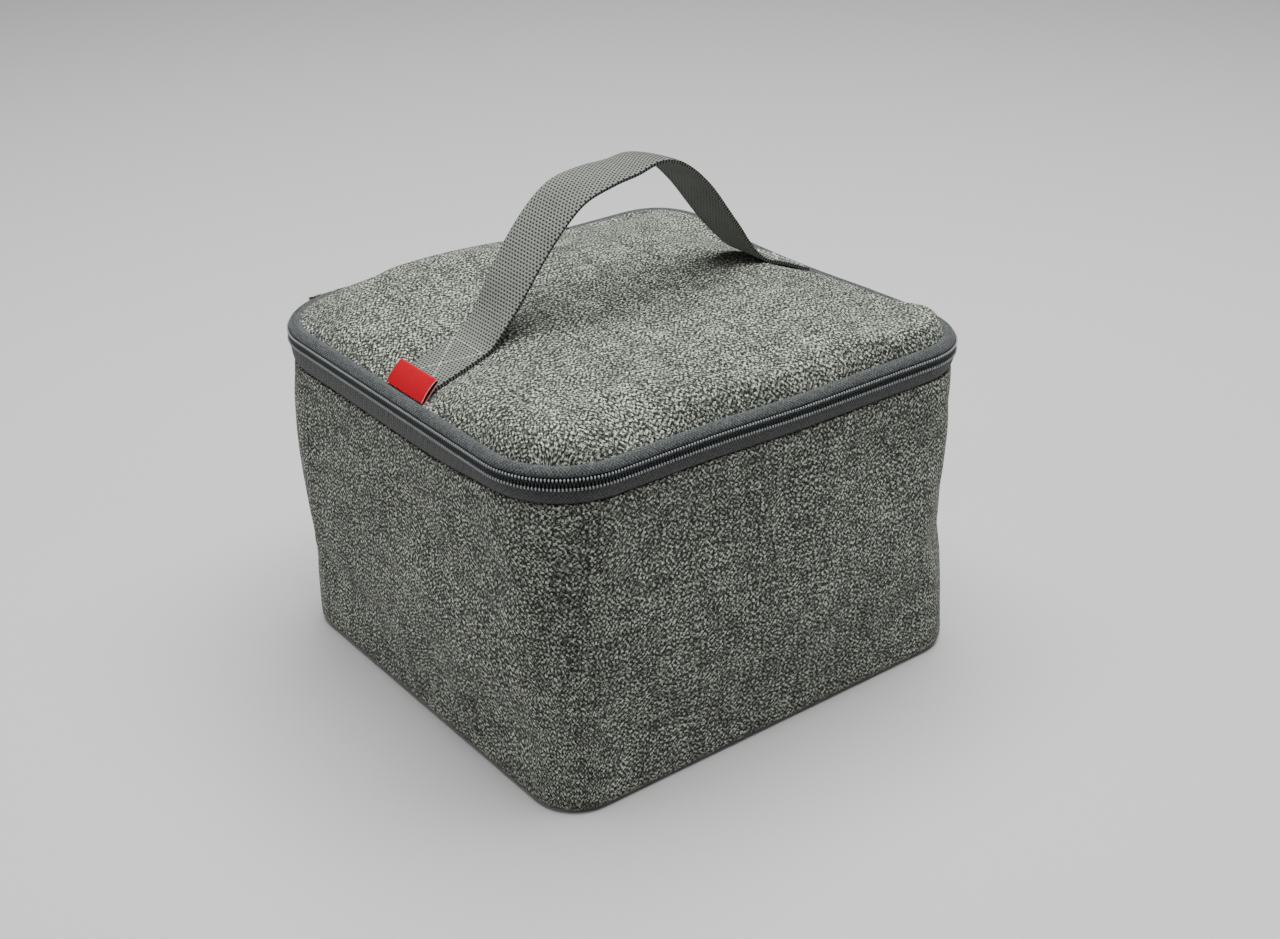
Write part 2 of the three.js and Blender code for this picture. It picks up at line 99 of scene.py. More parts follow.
class BagSizes(bpy.types.PropertyGroup):
    """Sizes of the bag's soft pieces and trims"""

    box_width: length("Box width", "Outline of the walls at the zip, left to right", zip_width)
    box_depth: length("Box depth", "Outline of the walls at the zip, front to back", zip_depth)
    box_corner: length("Box corner", "Corner radius of the walls at the zip", 37 * mm)
    base_width: length("Base width", "Outline of the base, left to right", 235 * mm)
    base_depth: length("Base depth", "Outline of the base, front to back", 223 * mm)
    base_corner: length("Base corner", "Corner radius of the base", 22 * mm)
    base_edge: length("Base edge", "Radius of the rounded bottom edge", 4.5 * mm)
    base_shift: length("Base shift", "How far the base stands forward of the zip", 1.2 * mm)
    wall_height: length("Wall height", "Height of the seam under the zip", wall_high.z)
    right_bow: length("Right bow", "How far the right side of the zip bows in at its middle", 13.5 * mm)
    lid_seam: length("Lid seam", "Height of the seam over the zip", lid_low.z)
    lid_inset: length("Lid inset", "How far the lid seam stands in from the walls", lid_inset)
    lid_crown: length("Lid crown", "Rise of the padded lid over its seam", 11.5 * mm)
    lid_ease: length("Lid ease", "Distance over which the lid rises at the back and right", 14 * mm)
    left_ease: length("Left ease", "Distance over which the lid rises at the left", 5.5 * mm)
    front_ease: length("Front ease", "Distance over which the lid rises at the front", 3.2 * mm)
    corner_ease: length("Corner ease", "Distance over which the lid rises at the back corners", 26 * mm)
    front_droop: length("Front droop", "How far the right end of the front hangs lower at the zip", 1.9 * mm)
    left_dip: length("Left dip", "How far the left side's seam under the zip dips", 3.4 * mm)
    chain_height: length("Chain height", "Height of the middle of the zip", 157.5 * mm)
    hinge_length: length("Hinge length", "Length of the fold at the back, between the zip ends", 100 * mm)
    tooth_pitch: length("Tooth pitch", "Spacing of the turns of the zip coil", 1.45 * mm)
    webbing_width: length("Webbing width", "Width of the handle", sewn_high.y - sewn_low.y)
    webbing_thickness: length("Webbing thickness", "Thickness of the handle", 1.6 * mm)
    webbing_rib: length("Webbing rib", "Spacing of the cross ribs of the webbing", 1.55 * mm)
    label_width: length("Label width", "Width of the label along the seam", woven_width)
    label_length: length("Label length", "Length of the label from the seam to its fold", 10.8 * mm)
    lining_inset: length("Lining inset", "Depth of the lining inside the walls", 5.6 * mm)


class BagColours(bpy.types.PropertyGroup):
    """Colours of the bag's finishes"""

    yarn_dark: colour("Dark yarn", "Dark flecks of the melange cloth", (0.0085, 0.0100, 0.0078))
    yarn_middle: colour("Middle yarn", "Ground of the melange cloth", (0.069, 0.0755, 0.0625))
    yarn_pale: colour("Pale yarn", "Pale flecks of the melange cloth", (0.300, 0.319, 0.274))
    yarn_bright: colour("Bright yarn", "Brightest flecks of the melange cloth", (0.620, 0.655, 0.566))
    webbing: colour("Webbing", "Ribs of the handle webbing", (0.185, 0.198, 0.175))
    # Painted shade: near black colour for the grooves between the webbing's ribs
    webbing_groove_shade: colour("Webbing groove", "Grooves of the handle webbing", (0.014, 0.0165, 0.0135))
    tape: colour("Upper zip tape", "Woven tape at the lid's edge", (0.025, 0.0295, 0.0300))
    # Painted shade: the lower tape is the same tape as the upper one, coloured darker for the shade on its
    # side-facing slope
    lower_tape: colour("Lower zip tape", "Woven tape at the top of the walls", (0.021, 0.0225, 0.0205))
    coil: colour("Zip coil", "Nylon coil of the zip", (0.012, 0.0145, 0.0165))
    zip_thread: colour("Zip thread", "Thread that holds the coil on its tape", (0.34, 0.37, 0.37))
    thread: colour("Handle thread", "Thread of the handle seams", (0.56, 0.58, 0.54))
    film: colour("Lining film", "Insulating film inside the bag", (0.56, 0.58, 0.6))
    binding: colour("Binding", "Binding tape inside the mouth", (0.03, 0.0335, 0.0335))
    label: colour("Label", "Woven face of the label", (0.47, 0.005, 0.016))
    label_edge: colour("Label edge", "Cut edge of the label", (0.5, 0.4, 0.38))
    slider: colour("Slider", "Plated metal of the zip slider", (0.62, 0.58, 0.45))
    pull: colour("Pull", "Painted metal of the zip pull", (0.02, 0.021, 0.023))
    floor: colour("Floor", "Pale studio floor", (0.53, 0.53, 0.53))


# Shader maths


class Socket:
    """An output of a shader node, with the arithmetic that the finishes use"""

    def __init__(self, finish, socket):
        self.finish = finish
        self.socket = socket

    def math(self, operation, first, second=0.0):
        return self.finish.node("ShaderNodeMath", {"operation": operation}, {0: first, 1: second})

    def __add__(self, other):
        return self.math("ADD", self, other)

    __radd__ = __add__

    def __sub__(self, other):
        return self.math("SUBTRACT", self, other)

    def __rsub__(self, other):
        return self.math("SUBTRACT", other, self)

    def __mul__(self, other):
        return self.math("MULTIPLY", self, other)

    __rmul__ = __mul__

    def __gt__(self, other):
        return self.math("GREATER_THAN", self, other)

    def sine(self):
        return self.math("SINE", self)

    def floor(self):
        return self.math("FLOOR", self)

    def modulo(self, other):
        return self.math("FLOORED_MODULO", self, other)

    def absolute(self):
        return self.math("ABSOLUTE", self)

    def clamp(self):
        return self.finish.node("ShaderNodeClamp", {}, {"Value": self})


class Finish:
    """A material with one shader, built node by node"""

    def __init__(self, name, roughness, **constants):
        self.material = bpy.data.materials.new(name)
        self.material.use_nodes = True
        self.tree = self.material.node_tree
        self.shader = self.tree.nodes["Principled BSDF"]
        self.shader.inputs["Roughness"].default_value = roughness
        for word, value in constants.items():
            socket = word.replace("_", " ").title().replace("Ior", "IOR")
            self.shader.inputs[socket].default_value = value

    def node(self, kind, settings, inputs, output=0):
        node = self.tree.nodes.new(kind)
        for name, value in settings.items():
            if name == "stops":
                self.set_stops(node.color_ramp, value)
            else:
                setattr(node, name, value)
        for name, value in inputs.items():
            self.feed(node.inputs[name], value)
        return Socket(self, node.outputs[output])

    def feed(self, target, value):
        if isinstance(value, Socket):
            self.tree.links.new(value.socket, target)
        else:
            target.default_value = value

    @staticmethod
    def set_stops(ramp, stops):
        while len(ramp.elements) < len(stops):
            ramp.elements.new(1.0)
        for element, (place, shade) in zip(ramp.elements, stops):
            element.position = place
            element.color = (*shade, 1.0)

    def surface(self):
        """Distances along the piece's own surface, in metres"""
        place = self.node("ShaderNodeUVMap", {"uv_map": "UVMap"}, {})
        return self.split(place)

    def split(self, vector):
        node = self.node("ShaderNodeSeparateXYZ", {}, {"Vector": vector})
        outputs = node.socket.node.outputs
        return [Socket(self, outputs[axis]) for axis in "XYZ"]

    def place(self):
        return self.node("ShaderNodeTexCoord", {}, {}, "Object")

    def vector(self, x, y, z=0.0):
        return self.node("ShaderNodeCombineXYZ", {}, {"X": x, "Y": y, "Z": z})

    def speck(self, x, y):
        """A value from 0 to 1 for each whole-numbered place"""
        return self.node("ShaderNodeTexWhiteNoise", {"noise_dimensions": "2D"}, {"Vector": self.vector(x, y)})

    def noise(self, x, y, seed, detail, roughness=0.5):
        """Soft noise over a surface; each seed gives another one"""
        return self.noise_at(self.vector(x, y, seed), 1.0, detail, roughness)

    def noise_at(self, vector, scale, detail=2.0, roughness=0.5):
        settings = {"Vector": vector, "Scale": scale, "Detail": detail, "Roughness": roughness}
        return self.node("ShaderNodeTexNoise", {}, settings)

    def mix(self, share, first, second):
        inputs = {0: share, 6: self.shade(first), 7: self.shade(second)}
        return self.node("ShaderNodeMix", {"data_type": "RGBA"}, inputs, 2)

    @staticmethod
    def shade(value):
        return value if isinstance(value, Socket) else (*value, 1.0)

    def ramp(self, value, stops):
        return self.node("ShaderNodeValToRGB", {"stops": stops}, {"Fac": value})

    def done(self, base, height=None, distance=0.0002, strength=1.0, roughness=None):
        self.feed(self.shader.inputs["Base Color"], base)
        if roughness is not None:
            self.feed(self.shader.inputs["Roughness"], roughness)
        if height is not None:
            inputs = {"Strength": strength, "Distance": distance, "Height": height}
            self.feed(self.shader.inputs["Normal"], self.node("ShaderNodeBump", {}, inputs))
        return self.material


def full_turns(pitch):
    return 2 * math.pi / pitch


def melange_cloth(name, colours):
    """Woven cloth of mixed dark and pale yarns, whose flecks run along both threads"""
    finish = Finish(name, roughness=0.95, sheen_weight=0.05, specular_ior_level=0.2)
    u, v, _ = finish.surface()
    thread_pitch = 0.7 * mm
    dash = 1.5 * mm
    slubs_per_metre = 110
    end, pick = (u * (1 / thread_pitch)).floor(), (v * (1 / thread_pitch)).floor()
    # Each thread has dashes of its own length, from its own start
    warp_dash = (v * (1 / dash) * (0.7 + finish.speck(end, 8.5)) + finish.speck(end, 3.5) * 7).floor()
    weft_dash = (u * (1 / dash) * (0.7 + finish.speck(9.5, pick)) + finish.speck(4.5, pick) * 7).floor()
    warp = (warp_dash.modulo(2.0) - 0.5) * (0.4 + finish.speck(end, warp_dash) * 0.9)
    weft = (weft_dash.modulo(2.0) - 0.5) * (0.4 + finish.speck(weft_dash + 0.5, pick) * 0.9)
    cloud = finish.noise(u * 16, v * 16, seed=7.0, detail=2.0)
    own = finish.speck(end, pick) - 0.5
    warp_slub = finish.speck(end, (v * slubs_per_metre).floor())
    slub = warp_slub + finish.speck((u * slubs_per_metre).floor() + 0.4, pick) - 1
    fleck = 0.465 + warp * 0.42 + weft * 0.37 + own * 0.34 + slub * 0.22 + (cloud - 0.5) * 0.12
    stops = [
        (0.12, colours.yarn_dark),
        (0.5, colours.yarn_middle),
        (0.78, colours.yarn_pale),
        (1.0, colours.yarn_bright),
    ]
    base = finish.ramp(fleck, stops)
    crest = (u * full_turns(2 * thread_pitch)).sine() * (v * full_turns(2 * thread_pitch)).sine()
    roughness = 0.86 + fleck * 0.12
    return finish.done(base, fleck + crest * 0.3, distance=0.25 * mm, strength=0.8, roughness=roughness)


def ribbed_webbing(name, colours, rib):
    """Woven webbing with cross ribs and fine yarns along it, and painted shade that darkens the grooves
    between the ribs
    """
    finish = Finish(name, roughness=0.85, sheen_weight=0.1, specular_ior_level=0.25)
    u, v, _ = finish.surface()
    row = (v * (1 / rib) + 0.5).floor()
    groove = 0.5 + (v * full_turns(rib) - math.pi / 2).sine() * 0.5
    dash = (u * full_turns(1.9 * mm) + row * math.pi).sine() > -0.1
    yarn = finish.noise(u * 1900, v * 700, seed=1.0, detail=1.0)
    cloud = finish.noise(u * 60, v * 60, seed=3.0, detail=2.0)
    # Painted shade: the grooves between the ribs are darkened in dotted dashes, towards the groove shade
    # colour
    gap = (1 - groove) * (0.05 + dash * 1.6)
    share = (0.95 - gap + (yarn - 0.5) * 0.8 + (cloud - 0.5) * 0.4).clamp()
    base = finish.mix(share, colours.webbing_groove_shade, colours.webbing)
    height = yarn * 0.4 - gap
    roughness = 0.8 + yarn * 0.15
    return finish.done(base, height, distance=0.3 * mm, strength=0.8, roughness=roughness)


def zip_tape_cloth(name, shade, highlight_width):
    """Fine twill tape with dotted rows along the zip, and a painted highlight as wide as given along its seam
    edge, where the tape rolls up towards the light
    """
    finish = Finish(name, roughness=0.6, sheen_weight=0.15, specular_ior_level=0.35)
    u, v, _ = finish.surface()
    twill = 0.5 + ((u + v) * full_turns(0.9 * mm)).sine() * 0.5
    dots = (u * full_turns(1.5 * mm)).sine() * (v * full_turns(2.2 * mm)).sine()
    fuzz = finish.speck((u * 1100).floor(), (v * 1500).floor())
    cloud = finish.noise(u * 120, v * 120, seed=5.0, detail=2.0)
    # Painted highlight: paler along the seam edge of the tape, standing in for light on its upturned roll
    painted_highlight = ((highlight_width - v) * (1 / (2 * mm)) + 0.5).clamp()
    share = 0.2 + twill * 0.2 + dots * 0.35 + painted_highlight * 0.32
    share = (share + (fuzz - 0.5) * 0.9 + (cloud - 0.5) * 0.3).clamp()
    dark = [part * 0.4 for part in shade]
    pale = [part * 2.9 for part in shade]
    base = finish.mix(share, dark, pale)
    roughness = 0.6 + fuzz * 0.2
    height = dots * 0.8 + twill * 0.4 + fuzz * 1.2
    return finish.done(base, height, distance=0.3 * mm, strength=0.8, roughness=roughness)


def coil_nylon(name, colours):
    """Dark nylon with a slight gloss and pale rubbed crests"""
    finish = Finish(name, roughness=0.4, specular_ior_level=0.5)
    grain = finish.noise_at(finish.place(), scale=900.0)
    dust = finish.noise_at(finish.place(), scale=60.0)
    pale = [part * 3.0 for part in colours.coil]
    base = finish.mix((grain * 0.6 + dust * 0.4 - 0.15).clamp(), colours.coil, pale)
    roughness = 0.32 + grain * 0.25
    return finish.done(base, grain, distance=0.05 * mm, strength=0.4, roughness=roughness)


def twisted_thread(name, shade):
    """Sewing thread with the twist of its plies"""
    finish = Finish(name, roughness=0.7, sheen_weight=0.1)
    x, y, z = finish.split(finish.place())
    twist = 0.5 + ((x + y * 0.7 + z * 0.6) * full_turns(0.5 * mm)).sine() * 0.5
    tone = finish.noise_at(finish.place(), scale=120.0)
    dark = [part * 0.55 for part in shade]
    base = finish.mix((twist * 0.5 + tone * 0.7 - 0.05).clamp(), dark, shade)
    roughness = 0.6 + tone * 0.2
    return finish.done(base, twist, distance=0.08 * mm, strength=0.6, roughness=roughness)


def lining_film(name, colours):
    """Pale insulating film with a pressed grid and a soft shine"""
    finish = Finish(name, roughness=0.32, specular_ior_level=0.5)
    u, v, _ = finish.surface()
    cell = 6 * mm
    ridge = ((u + v) * full_turns(cell)).sine() * ((u - v) * full_turns(cell)).sine()
    crinkle = finish.noise(u * 120, v * 120, seed=1.0, detail=4.0, roughness=0.6)
    cloud = finish.noise(u * 18, v * 18, seed=4.0, detail=2.0)
    dark = [part * 0.72 for part in colours.film]
    base = finish.mix((cloud * 0.7 + crinkle * 0.4 - 0.1).clamp(), dark, colours.film)
    roughness = 0.24 + crinkle * 0.2
    return finish.done(base, ridge * 0.3 + crinkle, distance=0.5 * mm, strength=0.6, roughness=roughness)


def binding_cloth(name, colours):
    """Dark ribbed binding tape"""
    finish = Finish(name, roughness=0.85, sheen_weight=0.1)
    u, v, _ = finish.surface()
    rib = 0.5 + (u * full_turns(0.8 * mm)).sine() * 0.5
    yarn = finish.noise(u * 900, v * 1500, seed=2.0, detail=1.0)
    pale = [part * 2.0 for part in colours.binding]
    base = finish.mix((rib * 0.4 + yarn * 0.7 - 0.1).clamp(), colours.binding, pale)
    roughness = 0.78 + yarn * 0.15
    return finish.done(base, rib * 0.6 + yarn * 0.6, distance=0.15 * mm, strength=0.7, roughness=roughness)


def woven_label(name, colours, width):
    """Satin-woven label with pale cut edges"""
    finish = Finish(name, roughness=0.6, specular_ior_level=0.06)
    u, v, _ = finish.surface()
    satin = 0.5 + (v * full_turns(0.42 * mm)).sine() * 0.5
    yarn = finish.noise(u * 500, v * 2200, seed=2.0, detail=1.0)
    dark = [part * 0.62 for part in colours.label]
    face = finish.mix((satin * 0.4 + yarn * 0.8 - 0.05).clamp(), dark, colours.label)
    cut = (u - width / 2).absolute() > width / 2 - 0.12 * mm
    base = finish.mix(cut, face, colours.label_edge)
    roughness = 0.5 + yarn * 0.2
    return finish.done(base, satin * 0.6 + yarn * 0.5, distance=0.12 * mm, strength=0.6, roughness=roughness)


def plated_metal(name, colours):
    """Pale plated die-cast metal with fine scratches and worn spots"""
    finish = Finish(name, roughness=0.3, metallic=1.0)
    scratch = finish.noise_at(finish.place(), scale=700.0, detail=3.0)
    wear = finish.noise_at(finish.place(), scale=160.0)
    dark = [part * 0.5 for part in colours.slider]
    base = finish.mix((wear * 1.4 - 0.3).clamp(), dark, colours.slider)
    roughness = 0.2 + scratch * 0.3
    return finish.done(base, scratch, distance=0.06 * mm, strength=0.4, roughness=roughness)


def painted_metal(name, colours):
    """Dark painted metal, rubbed paler in spots"""
    finish = Finish(name, roughness=0.4, metallic=0.6)
    grain = finish.noise_at(finish.place(), scale=800.0)
    wear = finish.noise_at(finish.place(), scale=200.0, detail=3.0)
    pale = [part * 4.0 for part in colours.pull]
    base = finish.mix((wear * 2.4 - 1.2).clamp(), colours.pull, pale)
    roughness = 0.3 + grain * 0.25
    return finish.done(base, grain, distance=0.05 * mm, strength=0.4, roughness=roughness)


def pale_floor(name, colours):
    """Matt studio floor"""
    finish = Finish(name, roughness=0.9, specular_ior_level=0.1)
    cloud = finish.noise_at(finish.place(), scale=0.8)
    dark = [part * 0.985 for part in colours.floor]
    return finish.done(finish.mix(cloud, dark, colours.floor))


def finish_of(name, make, *values):
    """A material by name, made the first time that it is asked for"""
    return bpy.data.materials.get(name) or make(name, *values)


# Modelling helpers


def only(piece):
    bpy.ops.object.select_all(action="DESELECT")
    piece.select_set(True)
    bpy.context.view_layer.objects.active = piece


def added(name):
    piece = bpy.context.object
    piece.name = name
    piece.data.name = name
    return piece


def points_of(piece):
    flat = np.zeros(len(piece.data.vertices) * 3)
    piece.data.vertices.foreach_get("co", flat)
    return flat.reshape(-1, 3)


def set_points(piece, points):
    piece.data.vertices.foreach_set("co", np.asarray(points, float).ravel())
    piece.data.update()


def set_place(piece):
    """Puts the piece's place, turn and scale into its mesh"""
    only(piece)
    bpy.ops.object.transform_apply(location=True, rotation=True, scale=True)
    return piece


def apply_modifier(piece, kind, **settings):
    modifier = piece.modifiers.new(kind.title(), kind)
    for name, value in settings.items():
        setattr(modifier, name, value)
    only(piece)
    bpy.ops.object.modifier_apply(modifier=modifier.name)


def thicken(piece, thickness, offset=-1.0):
    apply_modifier(piece, "SOLIDIFY", thickness=thickness, offset=offset, use_even_offset=True)


def smooth_shade(piece, degrees):
    only(piece)
    bpy.ops.object.shade_smooth_by_angle(angle=math.radians(degrees))


def as_cloth(piece, thickness, degrees=60):
    """Smooths a sheet and gives it its thickness, inwards from its face"""
    apply_modifier(piece, "SUBSURF", levels=1, render_levels=1)
    thicken(piece, thickness)
    smooth_shade(piece, degrees)


def edit_all(piece, change, **settings):
    """Runs an edit mode operator on the whole of a piece"""
    only(piece)
    bpy.ops.object.mode_set(mode="EDIT")
    bpy.ops.mesh.select_all(action="SELECT")
    change(**settings)
    bpy.ops.object.mode_set(mode="OBJECT")


def face_away(piece, inside):
    """Turns the faces of an open sheet to point away from a place"""
    total = sum((face.center - Vector(inside)).dot(face.normal) * face.area for face in piece.data.polygons)
    if total < 0:
        edit_all(piece, bpy.ops.mesh.flip_normals)


def sheet_of(name, columns, rows, shape, along, inside, closed=False):
    """A grid whose points are moved to a shape; along gives distances on the surface for the weave"""
    bpy.ops.object.select_all(action="DESELECT")
    bpy.ops.mesh.primitive_grid_add(x_subdivisions=columns, y_subdivisions=rows, size=2.0)
    piece = added(name)
    flat = points_of(piece)
    column = np.rint((flat[:, 0] + 1) / 2 * columns).astype(int)
    row = np.rint((flat[:, 1] + 1) / 2 * rows).astype(int)
    u, v = along(column, row)
    loops = np.zeros(len(piece.data.loops), int)
    piece.data.loops.foreach_get("vertex_index", loops)
    piece.data.uv_layers["UVMap"].data.foreach_set("uv", np.stack([u[loops], v[loops]], 1).ravel())
    set_points(piece, shape(column, row))
    if closed:
        edit_all(piece, bpy.ops.mesh.remove_doubles, threshold=0.01 * mm)
    face_away(piece, inside)
    return piece


def bevelled_box(low, high, bevel, segments=2):
    """A box with rounded edges, between its lowest and highest corners"""
    low, high = Vector(low), Vector(high)
    bpy.ops.object.select_all(action="DESELECT")
    bpy.ops.mesh.primitive_cube_add(size=1.0, location=(low + high) / 2, scale=high - low)
    box = set_place(bpy.context.object)
    edit_all(box, bpy.ops.mesh.bevel, offset=bevel, segments=segments, affect="EDGES")
    return box


def joined(name, parts):
    bpy.ops.object.select_all(action="DESELECT")
    for part in parts:
        part.select_set(True)
    bpy.context.view_layer.objects.active = parts[0]
    bpy.ops.object.join()
    return added(name)


def repeat(name, model, places):
    """One mesh of many copies of a model, each at a place given as a 4 by 4 matrix"""
    points = points_of(model)
    faces = [list(face.vertices) for face in model.data.polygons]
    moved = np.concatenate([points @ place[:3, :3].T + place[:3, 3] for place in places])
    copies = [[index + copy * len(points) for index in face] for copy in range(len(places)) for face in faces]
    mesh = bpy.data.meshes.new(name)
    mesh.from_pydata(moved.tolist(), [], copies)
    mesh.update()
    piece = bpy.data.objects.new(name, mesh)
    bpy.context.scene.collection.objects.link(piece)
    bpy.data.objects.remove(model, do_unlink=True)
    smooth_shade(piece, 60)
    return piece


def dress(piece, material, nodes=(), body=None):
    """Gives a finished piece its material, the nodes that it stands for and its body"""
    piece.data.materials.clear()
    piece.data.materials.append(material)
    if nodes:
        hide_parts(*nodes)
    if body:
        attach(piece, body)


def settle(piece, pinned, pressure, slack, cap):
    """Lets the cloth swell and crease between its seams, and keeps each point within a cap"""
    rest = points_of(piece)
    group = piece.vertex_groups.new(name="sewn")
    for index, weight in enumerate(pinned):
        if weight > 0:
            group.add([index], float(weight), "REPLACE")
    modifier = piece.modifiers.new("Cloth", "CLOTH")
    cloth = modifier.settings
    cloth.vertex_group_mass = group.name
    cloth.quality = 6
    cloth.mass = 0.25
    cloth.tension_stiffness = 20
    cloth.compression_stiffness = 20
    cloth.shear_stiffness = 8
    cloth.bending_stiffness = 6.0
    cloth.use_pressure = True
    cloth.uniform_pressure_force = pressure
    cloth.shrink_min = -slack
    cloth.effector_weights.gravity = 0
    frames = 20
    modifier.point_cache.frame_start = 1
    modifier.point_cache.frame_end = frames
    scene = bpy.context.scene
    for step in range(1, frames + 1):
        scene.frame_set(step)
    only(piece)
    bpy.ops.object.modifier_apply(modifier=modifier.name)
    scene.frame_set(1)
    piece.vertex_groups.clear()
    move = points_of(piece) - rest
    far = np.linalg.norm(move, axis=1, keepdims=True)
    set_points(piece, rest + move * np.minimum(1.0, cap / np.maximum(far, tiny)))


# Outlines


def eased(share):
    share = np.clip(share, 0.0, 1.0)
    return share * share * (3 - 2 * share)


def ramped(values, start, reach):
    """Rises smoothly from 0 at a start to 1 a reach further on"""
    return eased((values - start) / reach)


def lengths_along(line):
    """Distances from the first of some points to each one, along the line through them"""
    return np.concatenate([[0], np.cumsum(np.linalg.norm(np.diff(line, axis=0), axis=1))])


def lowered(points, down):
    """Points moved down, each by its own amount"""
    return points - np.column_stack([np.zeros((len(points), 2)), down])


def stretches(sizes):
    """Lengths of the straight sides and round corners, from the back's middle leftwards"""
    across = sizes.box_width / 2 - sizes.box_corner
    along = sizes.box_depth / 2 - sizes.box_corner
    arc = sizes.box_corner * math.pi / 2
    return np.array([across, arc, 2 * along, arc, 2 * across, arc, 2 * along, arc, across])


def rounded(shares, width, depth, corner, sizes):
    """Points and outward directions on a rounded outline, from the back's middle leftwards"""
    shares, width, depth, corner = np.broadcast_arrays(shares, width, depth, corner)
    parts = stretches(sizes)
    ends = np.cumsum(parts) / parts.sum()
    starts = ends - parts / parts.sum()
    x = width / 2 - corner
    y = depth / 2 - corner
    zero = np.zeros_like(x)
    corners = [(-x, y), (-x, -y), (x, -y), (x, y)]
    sides = [
        (zero, depth / 2, -x, depth / 2),
        (-width / 2, y, -width / 2, -y),
        (-x, -depth / 2, x, -depth / 2),
        (width / 2, -y, width / 2, y),
        (x, depth / 2, zero, depth / 2),
    ]
    points = np.zeros((len(shares), 2))
    outward = np.zeros((len(shares), 2))
    for part in range(len(parts)):
        here = (shares >= starts[part] - tiny) & (shares <= ends[part] + tiny)
        share = (shares[here] - starts[part]) / (ends[part] - starts[part])
        number = part // 2
        angle = math.pi / 2 * (number + 1)
        if part % 2:
            angle = angle + math.pi / 2 * share
            direction = np.stack([np.cos(angle), np.sin(angle)], 1)
            middle = np.stack([corners[number][0][here], corners[number][1][here]], 1)
            points[here] = middle + corner[here][:, None] * direction
        else:
            direction = np.array([[math.cos(angle), math.sin(angle)]]) * np.ones((here.sum(), 1))
            x0, y0, x1, y1 = (value[here] for value in sides[number])
            points[here] = np.stack([x0 + (x1 - x0) * share, y0 + (y1 - y0) * share], 1)
        outward[here] = direction
    return points, outward


def bowed(points, heights, sizes):
    """The right side bows in, more towards the zip than at the base and more at the back than at the front"""
    back_lean = 0.3
    reach = ramped(points[:, 0], 75 * mm, 40 * mm)
    along = np.clip(2 * points[:, 1] / sizes.box_depth, -1, 1)
    middle = (1 - along**2) * (1 + back_lean * along)
    low = sizes.wall_height / 3
    shift = sizes.right_bow * reach * middle * ramped(heights, low, sizes.wall_height - low)
    return points - np.stack([shift, np.zeros_like(shift)], 1)


def drooped(points, sizes):
    """The right end of the front hangs lower towards the zip"""
    x, y, z = points.T
    share = ramped(x, -0.050, 0.070) * ramped(-y, 0.035, 0.060) * ramped(z, 0.090, 0.050)
    return lowered(points, sizes.front_droop * share)


def dipped(points, share, sizes):
    """The seam under the zip dips along the left side; share says how much each point goes with it"""
    x, y, _ = points.T
    along = ramped(y, -0.085, 0.060) * ramped(-y, -0.118, 0.030)
    return lowered(points, sizes.left_dip * ramped(-x, 0.100, 0.020) * along * share)


def zip_line(shares, out, heights, sizes):
    """Points at a distance outward of the walls' outline at the zip"""
    points, outward = rounded(shares, sizes.box_width, sizes.box_depth, sizes.box_corner, sizes)
    points = bowed(points, heights * np.ones(len(shares)), sizes) + outward * np.reshape(out, (-1, 1))
    return drooped(np.column_stack([points, heights * np.ones(len(shares))]), sizes), outward


def outline_length(sizes):
    return float(stretches(sizes).sum())


def octant_shares(sizes):
    """Shares of the middle of the back left corner, the left side and the front left corner"""
    parts = stretches(sizes)
    total = parts.sum()
    back = parts[0] + parts[1] / 2
    left = parts[0] + parts[1] + parts[2] / 2
    front = parts[0] + parts[1] + parts[2] + parts[3] / 2
    return back / total, left / total, front / total


def panel(a, b, width, depth, corner, sizes):
    """A square grid laid out inside a rounded outline; a and b run from -1 to 1.

    Gives the points and their distances in from the outline."""
    back, left, front = octant_shares(sizes)
    level = np.maximum(np.abs(a), np.abs(b))
    safe = np.maximum(level, tiny)
    t = np.abs(np.where(np.abs(b) >= np.abs(a), a, b)) / safe
    share = np.where(b > 0, left - t * (left - back), left + t * (front - left))
    share = np.where((np.abs(b) >= np.abs(a)) & (b >= 0), t * back, share)
    share = np.where((np.abs(b) >= np.abs(a)) & (b < 0), 0.5 - t * (0.5 - front), share)
    share = np.where(a > 0, 1 - share, share)
    points, outward = rounded(share, width, depth, corner, sizes)
    inset = (1 - level) * np.sum(points * outward, 1)
    return points * level[:, None], inset


# Walls and lid

# Soft hollows and swells of the walls: place, reach and depth, outward positive
wall_swells = [
    ((-0.117, 0.095, 0.104), 0.026, 2.2 * mm),
    ((-0.114, 0.098, 0.050), 0.022, -1.2 * mm),
    ((0.113, -0.104, 0.050), 0.026, -1.8 * mm),
    ((0.117, -0.106, 0.092), 0.026, -0.6 * mm),
    ((-0.045, -0.112, 0.112), 0.030, -2.2 * mm),
    ((0.030, -0.111, 0.060), 0.036, 1.6 * mm),
    ((0.075, -0.111, 0.105), 0.028, -1.4 * mm),
    ((-0.120, -0.030, 0.070), 0.034, 1.5 * mm),
    ((-0.119, 0.040, 0.095), 0.030, -1.5 * mm),
    ((0.118, 0.020, 0.080), 0.040, -2.0 * mm),
    ((-0.040, 0.111, 0.075), 0.034, 1.5 * mm),
    ((0.050, 0.111, 0.060), 0.030, -1.8 * mm),
]


def swell(points, outward, swells):
    for place, reach, depth in swells:
        far = np.sum((points - np.array(place)) ** 2, 1)
        points = points + outward * (depth * np.exp(-far / (2 * reach * reach)))[:, None]
    return points


def wall_rows(sizes):
    """Insets and heights of the walls' rows, from under the base to the turned top edge"""
    edge = sizes.base_edge
    rows = []
    for step in range(5):
        angle = math.pi / 2 * step / 4
        rows.append((edge - edge * math.sin(angle), edge - edge * math.cos(angle)))
    steps = 27
    top = sizes.wall_height - 1.6 * mm
    for step in range(1, steps + 1):
        rows.append((0.0, edge + (top - edge) * step / steps))
    for inset, rise in [(0.3, 1.1), (1.3, 1.6), (2.6, 0.9), (2.9, -1.0)]:
        rows.append((inset * mm, top + rise * mm))
    return np.array(rows)


